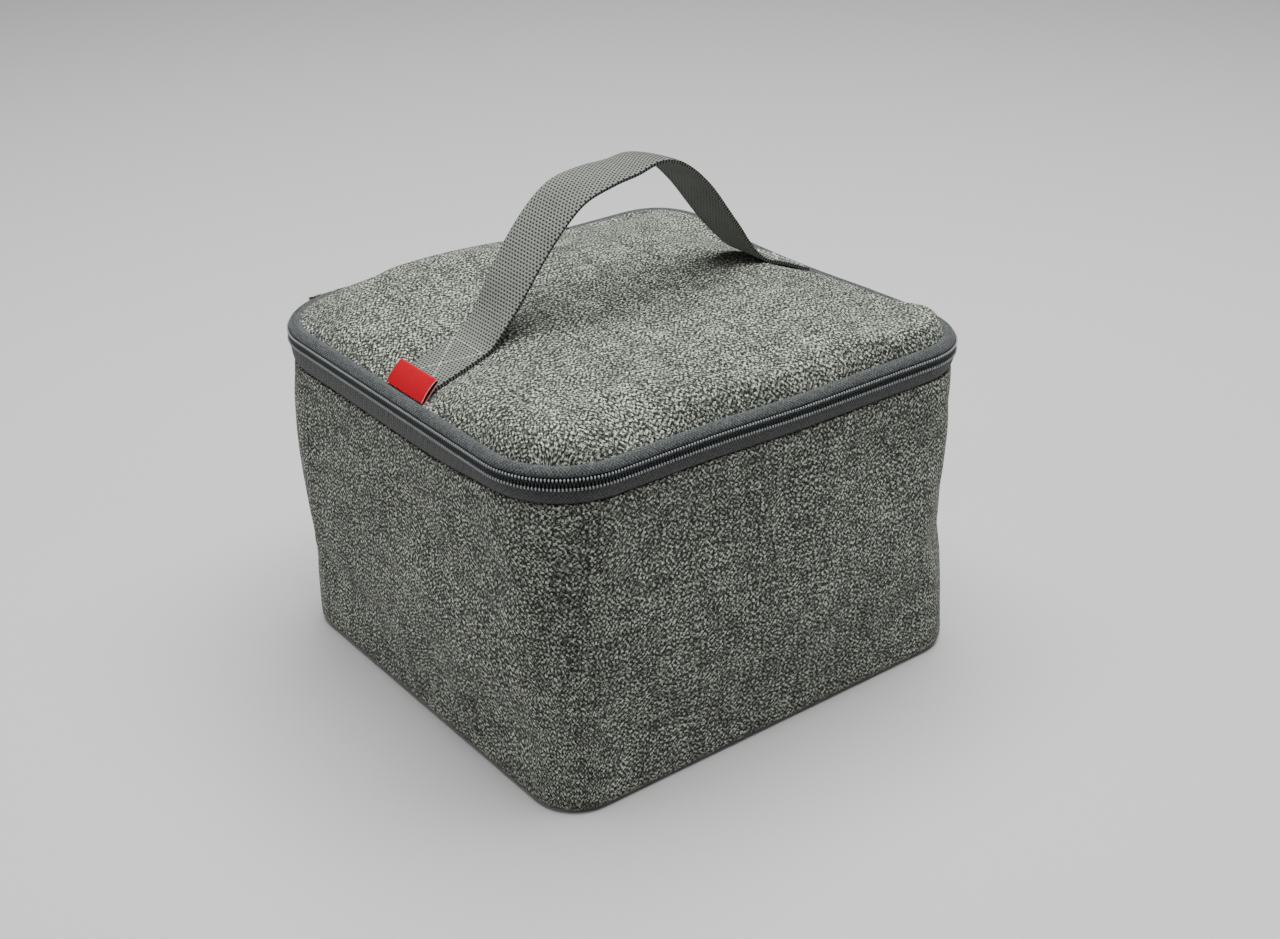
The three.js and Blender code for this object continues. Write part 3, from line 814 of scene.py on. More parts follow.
def wall_outline(shares, inset, heights, sizes):
    """Points and outward directions on the walls, which lean out from the base to the zip"""
    share = np.clip(heights / sizes.wall_height, 0, 1)
    width = sizes.base_width + (sizes.box_width - sizes.base_width) * share - 2 * inset
    depth = sizes.base_depth + (sizes.box_depth - sizes.base_depth) * share - 2 * inset
    corner = sizes.base_corner + (sizes.box_corner - sizes.base_corner) * share - inset
    points, outward = rounded(shares, width, depth, np.maximum(corner, mm), sizes)
    points = bowed(points, heights, sizes)
    points = points - np.stack([np.zeros_like(share), sizes.base_shift * (1 - share)], 1)
    points = drooped(np.column_stack([points, heights]), sizes)
    return points, np.column_stack([outward, np.zeros(len(shares))])


class BAG_OT_walls(bpy.types.Operator):
    """Make the padded outer cover of the walls"""

    bl_idname = "bag.walls"
    bl_label = "Walls"

    def execute(self, context):
        sizes = context.scene.bag_sizes
        rows = wall_rows(sizes)
        climb = lengths_along(rows)
        columns = 160
        dip_start = 0.080

        def held(heights):
            """How far the padding may swell, which is nothing at the base and at the seam"""
            return eased(heights / 0.02) * eased((sizes.wall_height - heights) / 0.02)

        def shape(column, row):
            shares = column % columns / columns
            points, outward = wall_outline(shares, rows[row, 0], rows[row, 1], sizes)
            points = swell(points, outward * held(rows[row, 1])[:, None], wall_swells)
            return dipped(points, ramped(rows[row, 1], dip_start, sizes.wall_height - dip_start), sizes)

        def along(column, row):
            return column / columns * outline_length(sizes), climb[row]

        walls = sheet_of("walls_cover", columns, len(rows) - 1, shape, along, (0, 0, 0.07), closed=True)
        heights = points_of(walls)[:, 2]
        free = ramped(heights, 0.006, 0.03) * eased((sizes.wall_height - 3 * mm - heights) / 0.025)
        settle(walls, np.clip(1 - free, 0, 1), pressure=0.25, slack=0.006, cap=3 * mm)
        as_cloth(walls, cover_thickness)
        cloth = finish_of("melange_cloth", melange_cloth, context.scene.bag_colours)
        dress(walls, cloth, ["outer_wall", "wall_foam"], "box")
        return {"FINISHED"}


class BAG_OT_base(bpy.types.Operator):
    """Make the padded panel that the bag stands on"""

    bl_idname = "bag.base"
    bl_label = "Base"

    def execute(self, context):
        sizes = context.scene.bag_sizes
        inset = sizes.base_edge - 0.4 * mm
        width, depth = sizes.base_width - 2 * inset, sizes.base_depth - 2 * inset
        cells = 40

        def shape(column, row):
            a, b = column * 2 / cells - 1, row * 2 / cells - 1
            points, inside = panel(a, b, width, depth, sizes.base_corner - inset, sizes)
            edge = 0.5 * mm * (1 - eased(inside / (8 * mm)))
            lift = edge + 0.25 * mm * (1 + np.sin(points[:, 0] * 60))
            points = points - np.array([0.0, sizes.base_shift])
            return np.column_stack([points, lift * eased(inside / (3 * mm)) + 0.15 * mm])

        def along(column, row):
            return column / cells * width, row / cells * depth

        base = sheet_of("base_cover", cells, cells, shape, along, (0, 0, 0.05))
        as_cloth(base, cover_thickness, 40)
        cloth = finish_of("melange_cloth", melange_cloth, context.scene.bag_colours)
        dress(base, cloth, ["outer_base", "base_foam"], "box")
        return {"FINISHED"}


# Soft hollows and swells of the lid, as for the walls but upward
lid_swells = [
    ((0.030, -0.060, 0.172), 0.036, 1.4 * mm),
    ((-0.070, -0.060, 0.170), 0.030, 1.2 * mm),
    ((0.102, -0.035, 0.170), 0.022, -2.6 * mm),
    ((0.102, 0.045, 0.170), 0.024, -3.8 * mm),
    ((-0.054, 0.086, 0.172), 0.028, 4.0 * mm),
    ((-0.010, 0.092, 0.172), 0.024, 2.0 * mm),
    ((0.060, 0.098, 0.172), 0.028, -3.6 * mm),
    ((0.010, 0.000, 0.174), 0.040, -0.8 * mm),
    ((0.070, -0.092, 0.168), 0.022, -1.2 * mm),
    ((0.104, -0.074, 0.168), 0.022, -2.4 * mm),
    ((0.105, -0.088, 0.166), 0.020, -1.8 * mm),
]

# Where the handle is tacked to the lid, left and right, and the lid's height there
tack_lines = [(-0.083, 0.1722), (0.083, 0.1722)]


def strap_ends(sizes):
    """Where the handle's ends meet the seam, left and right"""
    left = -(sizes.box_width / 2 - sizes.lid_inset) + 1.5 * mm
    return [left, -left - sizes.right_bow]


def strap_drift(x):
    """How far the handle stands off the middle: its left end is sewn a little towards the front"""
    return -6.0 * mm * (1 - ramped(x, -0.122, 0.100))


def strap_pull(points, sizes):
    """The sewn ends of the handle pull the lid straight between their tack lines and the seam"""
    off = np.abs(points[:, 1] - strap_drift(points[:, 0]))
    near = 1 - eased((off - sizes.webbing_width / 2 - 1.0 * mm) / (9 * mm))
    heights = points[:, 2]
    for (tack, high), end in zip(tack_lines, strap_ends(sizes)):
        share = (points[:, 0] - tack) / (end - tack)
        line = high + (sizes.lid_seam + 0.3 * mm - high) * share
        pulled = np.minimum(heights, line)
        heights = np.where(share > 0, heights + (pulled - heights) * near, heights)
    return np.column_stack([points[:, :2], heights])


def lid_rise(points, inset, sizes):
    """Rise of the lid over its seam: steep at the front and the left, gentle at the back corners"""
    x, y = points[:, 0], points[:, 1]
    beside_handle = ramped(np.abs(y + 0.005), 0.014, 0.03)
    left = ramped(-x, 0.055, 0.045) * (1 - ramped(y, 0.055, 0.04)) * beside_handle
    front = ramped(-y, 0.045, 0.045) * (0.35 + 0.65 * ramped(x, -0.085, 0.05))
    back_right = ramped(x, 0.050, 0.040) * ramped(y, -0.030, 0.080)
    back_left = ramped(-x, 0.060, 0.040) * ramped(y, 0.055, 0.040)
    corner = np.maximum(back_right, back_left)
    ease = sizes.lid_ease + (sizes.left_ease - sizes.lid_ease) * left
    ease = ease + (sizes.corner_ease - ease) * corner
    ease = ease + (sizes.front_ease - ease) * front
    return sizes.lid_crown * (1 - np.exp(-inset / ease))


def surface_lengths(shape, cells, column, row):
    """Distances along a shape from its middle, both ways, so that the weave isn't stretched on its slopes"""
    index = np.arange(cells + 1)
    columns, rows = np.meshgrid(index, index, indexing="ij")
    places = shape(columns.ravel(), rows.ravel()).reshape(cells + 1, cells + 1, 3)
    lengths = []
    for axis in (0, 1):
        steps = np.linalg.norm(np.diff(places, axis=axis), axis=2)
        start = np.zeros_like(np.take(steps, [0], axis))
        length_along = np.cumsum(np.concatenate([start, steps], axis), axis)
        lengths.append(length_along - np.take(length_along, [cells // 2], axis))
    return [values[column, row] for values in lengths]


class BAG_OT_lid(bpy.types.Operator):
    """Make the padded outer cover of the lid"""

    bl_idname = "bag.lid"
    bl_label = "Lid"

    def execute(self, context):
        sizes = context.scene.bag_sizes
        width, depth = sizes.box_width - 2 * sizes.lid_inset, sizes.box_depth - 2 * sizes.lid_inset
        corner = sizes.box_corner - sizes.lid_inset
        cells = 60

        def across(index):
            """Places from -1 to 1, closer together towards the seam"""
            place = index * 2 / cells - 1
            return np.sign(place) * (1 - (1 - np.abs(place)) ** 1.35)

        def shape(column, row):
            points, inset = panel(across(column), across(row), width, depth, corner, sizes)
            points = bowed(points, np.full(len(points), sizes.lid_seam), sizes)
            heights = sizes.lid_seam + lid_rise(points, inset, sizes)
            upward = np.column_stack([np.zeros((len(points), 2)), eased(inset / 0.012)])
            points = swell(np.column_stack([points, heights]), upward, lid_swells)
            return strap_pull(drooped(points, sizes), sizes)

        def along(column, row):
            return surface_lengths(shape, cells, column, row)

        lid = sheet_of("lid_cover", cells, cells, shape, along, (0, 0, 0.1))
        sewn_rise = 4 * mm
        free = np.minimum(points_of(lid)[:, 2] - sizes.lid_seam, sewn_rise) / sewn_rise
        settle(lid, np.clip(1 - free, 0, 1), pressure=0.2, slack=0.004, cap=2 * mm)
        as_cloth(lid, cover_thickness)
        cloth = finish_of("melange_cloth", melange_cloth, context.scene.bag_colours)
        dress(lid, cloth, ["lid_panel", "lid_foam"], "lid")
        return {"FINISHED"}


# Profile of the hinge strip: places outward of the walls and heights, in millimetres
hinge_profile = [(-1.6, 146.6), (0.1, 148.6), (0.9, 152.5), (0.7, 157.0), (-1.2, 160.6), (-4.2, 162.2)]


class BAG_OT_hinge(bpy.types.Operator):
    """Make the strip of cloth and lining that folds at the back"""

    bl_idname = "bag.hinge"
    bl_label = "Hinge strip"

    def execute(self, context):
        sizes = context.scene.bag_sizes
        half = sizes.hinge_length / 2 - 0.3 * mm
        outer = np.array(hinge_profile) * mm
        layers = [
            ("hinge_cover", outer, 1.2 * mm, "fabric", "hinge_panel"),
            ("hinge_lining_strip", outer - np.array([1.9 * mm, 0.0]), 0.4 * mm, "lining", "hinge_lining"),
        ]
        materials = {
            "fabric": finish_of("melange_cloth", melange_cloth, context.scene.bag_colours),
            "lining": finish_of("lining_film", lining_film, context.scene.bag_colours),
        }
        columns = 40
        for name, profile, thickness, slot, node in layers:
            climb = lengths_along(profile)

            def shape(column, row):
                x = half - column / columns * 2 * half
                ripple = 0.25 * mm * np.sin(x * 170) * np.sin(row / (len(profile) - 1) * math.pi)
                return np.column_stack([x, sizes.box_depth / 2 + profile[row, 0] + ripple, profile[row, 1]])

            def along(column, row):
                return column / columns * 2 * half, climb[row]

            strip = sheet_of(name, columns, len(profile) - 1, shape, along, (0, 0, 0.154))
            as_cloth(strip, thickness)
            dress(strip, materials[slot], [node])
            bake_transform(strip)
        return {"FINISHED"}


# Zip


def zip_shares(sizes):
    """Shares where the zip starts on the back, and where its upper half leaves the lid"""
    start = sizes.hinge_length / 2 / outline_length(sizes)
    part = octant_shares(sizes)[0]
    gap = 0.2 * mm / outline_length(sizes)
    return start, part - gap, part + gap


def zip_runs(sizes):
    """Names, bodies and shares of the stretches of zip"""
    start, end_left, lid_start = zip_shares(sizes)
    return {
        "lower": ("box", start, 1 - start),
        "upper": ("lid", lid_start, 1 - lid_start),
        "end_left": ("box", start, end_left),
        "end_right": ("box", 1 - end_left, 1 - start),
    }


# Profiles of the tapes, as for the hinge strip, from the seam to behind the coil
lower_tape = [
    (-2.4, 146.3), (-1.4, 147.3), (-0.2, 148.7), (0.6, 150.6), (1.0, 152.8),
    (1.1, 154.4), (0.7, 155.1), (-0.9, 155.4), (-1.1, 157.4),
]
upper_tape = [
    (-5.2, 161.9), (-4.4, 162.7), (-3.0, 163.0), (-1.3, 162.8), (0.1, 162.1),
    (0.9, 161.1), (1.2, 160.2), (0.6, 159.6), (-0.9, 159.4), (-1.1, 157.6),
]


class BAG_OT_zip_tapes(bpy.types.Operator):
    """Make the woven tapes of the zip"""

    bl_idname = "bag.zip_tapes"
    bl_label = "Zip tapes"

    def execute(self, context):
        sizes = context.scene.bag_sizes
        colours = context.scene.bag_colours
        # The upper tape gets a painted highlight along its rolled edge at the lid; the lower one gets only a
        # trace at its seam
        upper_highlight_width, lower_highlight_width = 3.4 * mm, 0.0
        upper_cloth = finish_of("upper_tape_cloth", zip_tape_cloth, colours.tape, upper_highlight_width)
        # The lower tape's darker colour is painted shade
        shaded_lower_cloth = finish_of("lower_tape_cloth", zip_tape_cloth, colours.lower_tape, lower_highlight_width)
        nodes = {
            "lower": "lower_zip_tape",
            "upper": "upper_zip_tape",
            "end_left": "zip_end_tape_left",
            "end_right": "zip_end_tape_right",
        }
        for run, (body, start, end) in zip_runs(sizes).items():
            profile = np.array(lower_tape if run == "lower" else upper_tape) * mm
            climb = lengths_along(profile)
            span = (end - start) * outline_length(sizes)
            columns = max(12, round(span / (4.5 * mm)))

            def shape(column, row):
                shares = start + (end - start) * column / columns
                points = zip_line(shares, profile[row, 0], profile[row, 1], sizes)[0]
                under_coil = eased((sizes.chain_height - 3 * mm - profile[row, 1]) / (6 * mm))
                return dipped(points, under_coil, sizes)

            def along(column, row):
                return column / columns * span, climb[row]

            piece = sheet_of(f"{run}_tape", columns, len(profile) - 1, shape, along, (0, 0, 0.15))
            as_cloth(piece, 0.6 * mm)
            cloth = shaded_lower_cloth if run == "lower" else upper_cloth
            dress(piece, cloth, [nodes[run]], body)
        return {"FINISHED"}


def outward_places(shares, out, height, sizes):
    """Places along the zip's line, turned so that X runs along it and Y points outward"""
    points, outward = zip_line(shares, np.full(len(shares), out), height, sizes)
    places = []
    for (x, y, z), (out_x, out_y) in zip(points, outward):
        places.append(np.array([[out_y, out_x, 0, x], [-out_x, out_y, 0, y], [0, 0, 1, z], [0, 0, 0, 1]]))
    return places


def tooth_places(run, out, height, sizes):
    """Places of the teeth along a stretch of zip; the upper ones stand between the lower ones"""
    _, start, end = zip_runs(sizes)[run]
    total = outline_length(sizes)
    step = sizes.tooth_pitch
    spare = 0.3 * mm
    phase = 0.0 if run == "lower" else 0.5
    first = math.ceil((start * total + spare) / step - phase) + phase
    last = math.floor((end * total - spare) / step - phase) + phase
    return outward_places(np.arange(first, last + 0.5) * step / total, out, height, sizes)


class BAG_OT_zip_coils(bpy.types.Operator):
    """Make the ribbed nylon coils of the zip"""

    bl_idname = "bag.zip_coils"
    bl_label = "Zip coils"

    def execute(self, context):
        sizes = context.scene.bag_sizes
        nylon = finish_of("coil_nylon", coil_nylon, context.scene.bag_colours)
        nodes = {
            "lower": "lower_zip_coil",
            "upper": "upper_zip_coil",
            "end_left": "zip_end_coil_left",
            "end_right": "zip_end_coil_right",
        }
        half = sizes.tooth_pitch * 0.29
        reach = 2.7 * mm
        overlap = 0.35 * mm
        for run, (body, _, _) in zip_runs(sizes).items():
            low, high = (-reach + overlap, overlap) if run == "lower" else (-overlap, reach - overlap)
            tooth = bevelled_box((-half, -1.0 * mm, low), (half, 1.0 * mm, high), 0.4 * mm, 1)
            places = tooth_places(run, 0.35 * mm, sizes.chain_height, sizes)
            dress(repeat(f"{run}_coil", tooth, places), nylon, [nodes[run]], body)
        return {"FINISHED"}


def stitch_model(name, stitch, radius, tall=None):
    """One stitch lying along X"""
    bpy.ops.object.select_all(action="DESELECT")
    bpy.ops.mesh.primitive_uv_sphere_add(segments=6, ring_count=5, radius=1.0, rotation=(0, math.pi / 2, 0))
    model = bpy.context.object
    set_place(model)
    model.scale = (stitch / 2, radius, tall or radius)
    set_place(model)
    return added(name)


class BAG_OT_zip_stitches(bpy.types.Operator):
    """Make the rows of stitches that hold the coils on their tapes"""

    bl_idname = "bag.zip_stitches"
    bl_label = "Zip stitches"

    def execute(self, context):
        sizes = context.scene.bag_sizes
        thread = finish_of("zip_thread", twisted_thread, context.scene.bag_colours.zip_thread)
        for run, (body, _, _) in zip_runs(sizes).items():
            out, height, tall = (1.5, 155.1, 0.75) if run == "lower" else (1.5, 159.2, 0.7)
            model = stitch_model("stitch", sizes.tooth_pitch * 0.58, 0.45 * mm, tall * mm)
            places = tooth_places(run, out * mm, height * mm, sizes)
            dress(repeat(f"{run}_stitches", model, places), thread, (), body)
        return {"FINISHED"}


class BAG_OT_slider(bpy.types.Operator):
    """Make the zip slider"""

    bl_idname = "bag.slider"
    bl_label = "Zip slider"

    def execute(self, context):
        metal = finish_of("plated_metal", plated_metal, context.scene.bag_colours)
        x = (slider_low.x + slider_high.x) / 2
        z = context.scene.bag_sizes.chain_height
        y = slider_high.y - 4.6 * mm
        half = (slider_high.x - slider_low.x) / 2
        tall = (slider_high.z - slider_low.z) / 2

        def block(low, high, bevel):
            """A bevelled block between two corners, in millimetres from the slider's middle"""
            return bevelled_box(
                (x + low[0] * mm, y + low[1] * mm, z + low[2] * mm),
                (x + high[0] * mm, y + high[1] * mm, z + high[2] * mm),
                bevel * mm,
            )

        plate = bevelled_box((x - half, y, z - tall), (x + half, y + 1.0 * mm, z + tall), 0.45 * mm)
        points = points_of(plate)
        narrow = 1 - 0.32 * eased((x + 1.5 * mm - points[:, 0]) / (half + 1.5 * mm))
        points[:, 2] = z + (points[:, 2] - z) * narrow
        set_points(plate, points)
        inner = slider_low.y - y
        back = block((-half / mm, inner / mm, -2.5), (half / mm, inner / mm + 1.0, 2.5), 0.4)
        post = block((half / mm - 4.0, inner / mm, -0.4), (half / mm, 0.6, 0.4), 0.15)
        lips = [block((-4.6, -1.2, side * 3.3 - 0.4), (5.4, 0.4, side * 3.3 + 0.4), 0.2) for side in (-1, 1)]
        legs = [block((side * 3.5 - 0.6, 0.4, -1.2), (side * 3.5 + 0.6, 4.0, 1.2), 0.4) for side in (-1, 1)]
        bridge = block((-4.1, 3.4, -1.2), (4.1, 4.6, 1.2), 0.5)
        tongue = block((-half / mm - 4.0, 0.0, -2.4), (-half / mm + 3.0, 1.2, 3.9), 0.5)
        slider = joined("zip_slider_body", [plate, tongue, back, post, *lips, *legs, bridge])
        smooth_shade(slider, 35)
        dress(slider, metal, ["zip_slider"], "slider")
        return {"FINISHED"}


class BAG_OT_pull(bpy.types.Operator):
    """Make the zip pull, a tab with a slot round the slider's bridge"""

    bl_idname = "bag.pull"
    bl_label = "Zip pull"

    def execute(self, context):
        paint = finish_of("painted_metal", painted_metal, context.scene.bag_colours)
        length_x = pull_high.x - pull_low.x
        tall = pull_high.z - pull_low.z
        middle = Vector((pull_low.x, (pull_low.y + pull_high.y) / 2, (pull_low.z + pull_high.z) / 2))
        corners = 48
        bpy.ops.object.select_all(action="DESELECT")
        bpy.ops.mesh.primitive_circle_add(vertices=corners, radius=2.0)
        tab = added("zip_pull_tab")
        bpy.ops.object.mode_set(mode="EDIT")
        bpy.ops.mesh.primitive_circle_add(vertices=corners, radius=1.0)
        bpy.ops.object.mode_set(mode="OBJECT")
        rough = points_of(tab)
        angle = np.arctan2(rough[:, 1], rough[:, 0])
        outer = np.hypot(rough[:, 0], rough[:, 1]) > 1.5

        def stadium(angle, low, high, half, power):
            """A rounded tab outline between two ends"""
            c, s = np.cos(angle), np.sin(angle)
            x = np.sign(c) * np.abs(c) ** (2 / power)
            y = np.sign(s) * np.abs(s) ** (2 / power)
            return np.column_stack([(low + high) / 2 + x * (high - low) / 2, y * half])

        outside = stadium(angle, 0.0, length_x, tall / 2, 4.5)
        slot = stadium(angle, 1.2 * mm, 6.3 * mm, 1.8 * mm, 6.0)
        flat = np.where(outer[:, None], outside, slot)
        set_points(tab, np.column_stack([flat[:, 0], np.zeros(len(flat)), flat[:, 1]]))
        edit_all(tab, bpy.ops.mesh.bridge_edge_loops)
        face_away(tab, (length_x / 2, -1.0, 0.0))
        thicken(tab, 1.2 * mm, 0.0)
        sharp = math.radians(50)
        apply_modifier(tab, "BEVEL", width=0.3 * mm, segments=2, limit_method="ANGLE", angle_limit=sharp)
        tab.location = middle
        set_place(tab)
        smooth_shade(tab, 35)
        dress(tab, paint, ["zip_pull"], "pull")
        return {"FINISHED"}


# Handle and label

# Middle line of the free loop: places along X and heights, in millimetres
loop_line = [
    (-83.0, 173.6), (-78.5, 176.4), (-70.0, 185.0), (-56.0, 203.0), (-42.0, 218.2),
    (-28.0, 228.6), (-12.0, 232.4), (2.0, 233.6), (14.0, 235.4), (26.0, 231.5),
    (40.0, 219.0), (55.0, 199.5), (68.0, 183.2), (76.5, 175.8), (83.0, 173.2),
]

# How far the loop twists, and where along X its twist starts and over what length it comes back
loop_twist = 2.0 * mm
twist_start = -0.083
twist_length = 0.164

# Height over which the loop hangs free, the top of its sewn ends, and where these start from the middle
loop_root = 0.176
sewn_top = 0.1765
sewn_start = 0.078

label_lean = math.radians(45)


def smooth_line(points, count):
    """Evenly spaced points on a smooth line through some points, with its tangents"""
    points = np.asarray(points, float)
    before = np.vstack([2 * points[0] - points[1], points[:-1]])
    after = np.vstack([points[1:], 2 * points[-1] - points[-2]])
    slope = (after - before) / 2
    fine = []
    for index in range(len(points) - 1):
        t = np.linspace(0, 1, 24, endpoint=False)[:, None]
        fine.append(
            (2 * t**3 - 3 * t**2 + 1) * points[index]
            + (t**3 - 2 * t**2 + t) * slope[index]
            + (3 * t**2 - 2 * t**3) * points[index + 1]
            + (t**3 - t**2) * slope[index + 1]
        )
    fine = np.vstack([*fine, points[-1:]])
    far = lengths_along(fine)
    wanted = np.linspace(0, far[-1], count)
    line = np.column_stack([np.interp(wanted, far, fine[:, axis]) for axis in range(points.shape[1])])
    return line, np.gradient(line, axis=0), far[-1]


def height_on(piece, x, y):
    """Height of a piece's upper face over a place"""
    hit, place, _, _ = piece.ray_cast(Vector((x, y, 1.0)), Vector((0, 0, -1)))
    if not hit:
        raise RuntimeError(f"{piece.name} has nothing at {x:.4f}, {y:.4f}")
    return place.z


class BAG_OT_handle(bpy.types.Operator):
    """Make the webbing handle, sewn flat to the lid at both ends"""

    bl_idname = "bag.handle"
    bl_label = "Handle"

    def execute(self, context):
        sizes = context.scene.bag_sizes
        lid = bpy.data.objects["lid_cover"]
        half = sizes.webbing_width / 2
        over = sizes.webbing_thickness / 2 + 0.25 * mm
        left_seam, right_seam = strap_ends(sizes)
        loop = np.array(loop_line) * mm
        left = [(x, height_on(lid, x, 0) + over) for x in np.linspace(left_seam, loop[0, 0] - 3 * mm, 7)]
        right = [(x, height_on(lid, x, 0) + over) for x in np.linspace(loop[-1, 0] + 3 * mm, right_seam, 6)]
        rib_rows = 4
        _, _, total = smooth_line([*left, *loop, *right], 50)
        rows = round(total / sizes.webbing_rib) * rib_rows
        line, tangent, total = smooth_line([*left, *loop, *right], rows + 1)
        tangent = tangent / np.linalg.norm(tangent, axis=1, keepdims=True)
        normal = np.column_stack([-tangent[:, 1], tangent[:, 0]])
        columns = 14
        free = ramped(line[:, 1], loop_root, 0.02)
        round_twist = np.clip((line[:, 0] - twist_start) / twist_length, 0, 1) * 2 * math.pi
        twist = loop_twist * free * np.sin(round_twist)
        rib = -0.11 * mm * np.cos(np.arange(rows + 1) / rib_rows * 2 * math.pi)

        def shape(column, row):
            side = column / columns * 2 - 1
            lift = twist[row] * side + rib[row] * (1 - side**8) - 0.25 * mm * side**8
            sag = 0.5 * mm * free[row] * (1 - side**2)
            place = line[row] + normal[row] * (lift + sag)[:, None]
            return np.column_stack([place[:, 0], strap_drift(line[row, 0]) + side * half, place[:, 1]])

        def along(column, row):
            return column / columns * sizes.webbing_width, row / rows * total

        strap = sheet_of("handle_webbing", columns, rows, shape, along, (0, 0, 0.1))
        points = points_of(strap)
        sewn = points[:, 2] < sewn_top
        ends = np.abs(points[:, 0]) > sewn_start
        for index in np.nonzero(sewn & ends)[0]:
            x, y, z = points[index]
            share = float(ramped(abs(x), sewn_start, 0.006))
            points[index, 2] = z + share * (max(z, height_on(lid, x, y) + over) - z)
        set_points(strap, points)
        thicken(strap, sizes.webbing_thickness, 0.0)
        smooth_shade(strap, 60)
        webbing = finish_of("ribbed_webbing", ribbed_webbing, context.scene.bag_colours, sizes.webbing_rib)
        nodes = [
            "handle_strap",
            "handle_bend_left",
            "handle_bend_right",
            "handle_end_left",
            "handle_end_right",
        ]
        dress(strap, webbing, nodes)
        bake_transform(strap)
        return {"FINISHED"}


def stitches_on(name, piece, lines, stitch, radius):
    """Stitches along straight lines, laid on a piece, with a gap after each and a little sunk in"""
    sewn_share = 0.84
    proud_share = 0.35
    places = []
    for start, end in lines:
        start, end = np.array(start), np.array(end)
        count = max(2, round(np.linalg.norm(end - start) / stitch))
        stops = [start + (end - start) * step / count for step in range(count + 1)]
        tops = [height_on(piece, *stop) for stop in stops]
        for first, last, low, high in zip(stops, stops[1:], tops, tops[1:]):
            ahead = Vector((*(last - first), high - low))
            spread = Vector((-ahead.y, ahead.x, 0)).normalized()
            up = ahead.normalized().cross(spread)
            middle = Vector((*((first + last) / 2), (low + high) / 2)) + up * radius * proud_share
            turn = np.eye(4)
            turn[:3, 0], turn[:3, 1], turn[:3, 2] = ahead.normalized(), spread, up
            turn[:3, 3] = middle
            places.append(turn)
    return repeat(name, stitch_model("stitch", stitch * sewn_share, radius), places)


class BAG_OT_handle_stitches(bpy.types.Operator):
    """Make the stitches that hold the handle: a cross line and two diagonals at each end"""

    bl_idname = "bag.handle_stitches"
    bl_label = "Handle stitches"

    def execute(self, context):
        sizes = context.scene.bag_sizes
        thread = finish_of("handle_thread", twisted_thread, context.scene.bag_colours.thread)
        strap = bpy.data.objects["handle_webbing"]
        side = sizes.webbing_width / 2 - 1.3 * mm
        left_seam, right_seam = strap_ends(sizes)
        ends = {"left": (-0.0845, left_seam + 3.5 * mm), "right": (0.0845, right_seam - 2.5 * mm)}
        for word, (near, far) in ends.items():
            by_tack, by_seam = strap_drift(near), strap_drift(far)
            lines = [
                ((near, by_tack - side), (near, by_tack + side)),
                ((near, by_tack + side), (far, by_seam - side)),
                ((near, by_tack - side), (far, by_seam + side)),
            ]
            seam = stitches_on(f"handle_stitches_{word}", strap, lines, stitch=2.4 * mm, radius=0.45 * mm)
            dress(seam, thread, [f"handle_tack_{word}"], "lid")
        return {"FINISHED"}


class BAG_OT_label(bpy.types.Operator):
    """Make the folded woven label in the left seam of the lid"""

    bl_idname = "bag.label"
    bl_label = "Label"

    def execute(self, context):
        sizes = context.scene.bag_sizes
        middle = label_high.y - sizes.label_width / 2
        seam = Vector((-(sizes.box_width / 2 - sizes.lid_inset) + 0.6 * mm, sizes.lid_seam + 0.4 * mm))
        lean = Vector((math.cos(label_lean), math.sin(label_lean)))
        across = Vector((lean.y, -lean.x))
        steps = 10
        columns = 16
        fold = 0.75 * mm
        path = []
        for far in np.linspace(0, sizes.label_length, steps):
            belly = fold + 0.5 * mm * math.sin(far / sizes.label_length * math.pi)
            path.append(seam + lean * far - across * belly)
        for angle in np.linspace(0, math.pi, 7)[1:-1]:
            tip = lean * math.sin(angle) - across * math.cos(angle)
            path.append(seam + lean * sizes.label_length + tip * fold)
        for far in np.linspace(sizes.label_length, 0, steps):
            path.append(seam + lean * far + across * fold)
        path = np.array(path)
        far = lengths_along(path)

        def shape(column, row):
            side = column / columns - 0.5
            curl = 0.5 * mm * (side * 2) ** 2 * np.sin(far[row] / far[-1] * math.pi)
            place = path[row] - np.array(across) * curl[:, None]
            return np.column_stack([place[:, 0], middle + side * sizes.label_width, place[:, 1]])

        def along(column, row):
            return column / columns * sizes.label_width, far[row]

        core = seam + lean * sizes.label_length / 2
        inside = (core.x, middle, core.y)
        label = sheet_of("side_label_fold", columns, len(path) - 1, shape, along, inside)
        thicken(label, 0.4 * mm, 0.0)
        smooth_shade(label, 50)
        weave = finish_of("woven_label", woven_label, context.scene.bag_colours, sizes.label_width)
        dress(label, weave, ["side_label"], "label")
        return {"FINISHED"}


# Inside


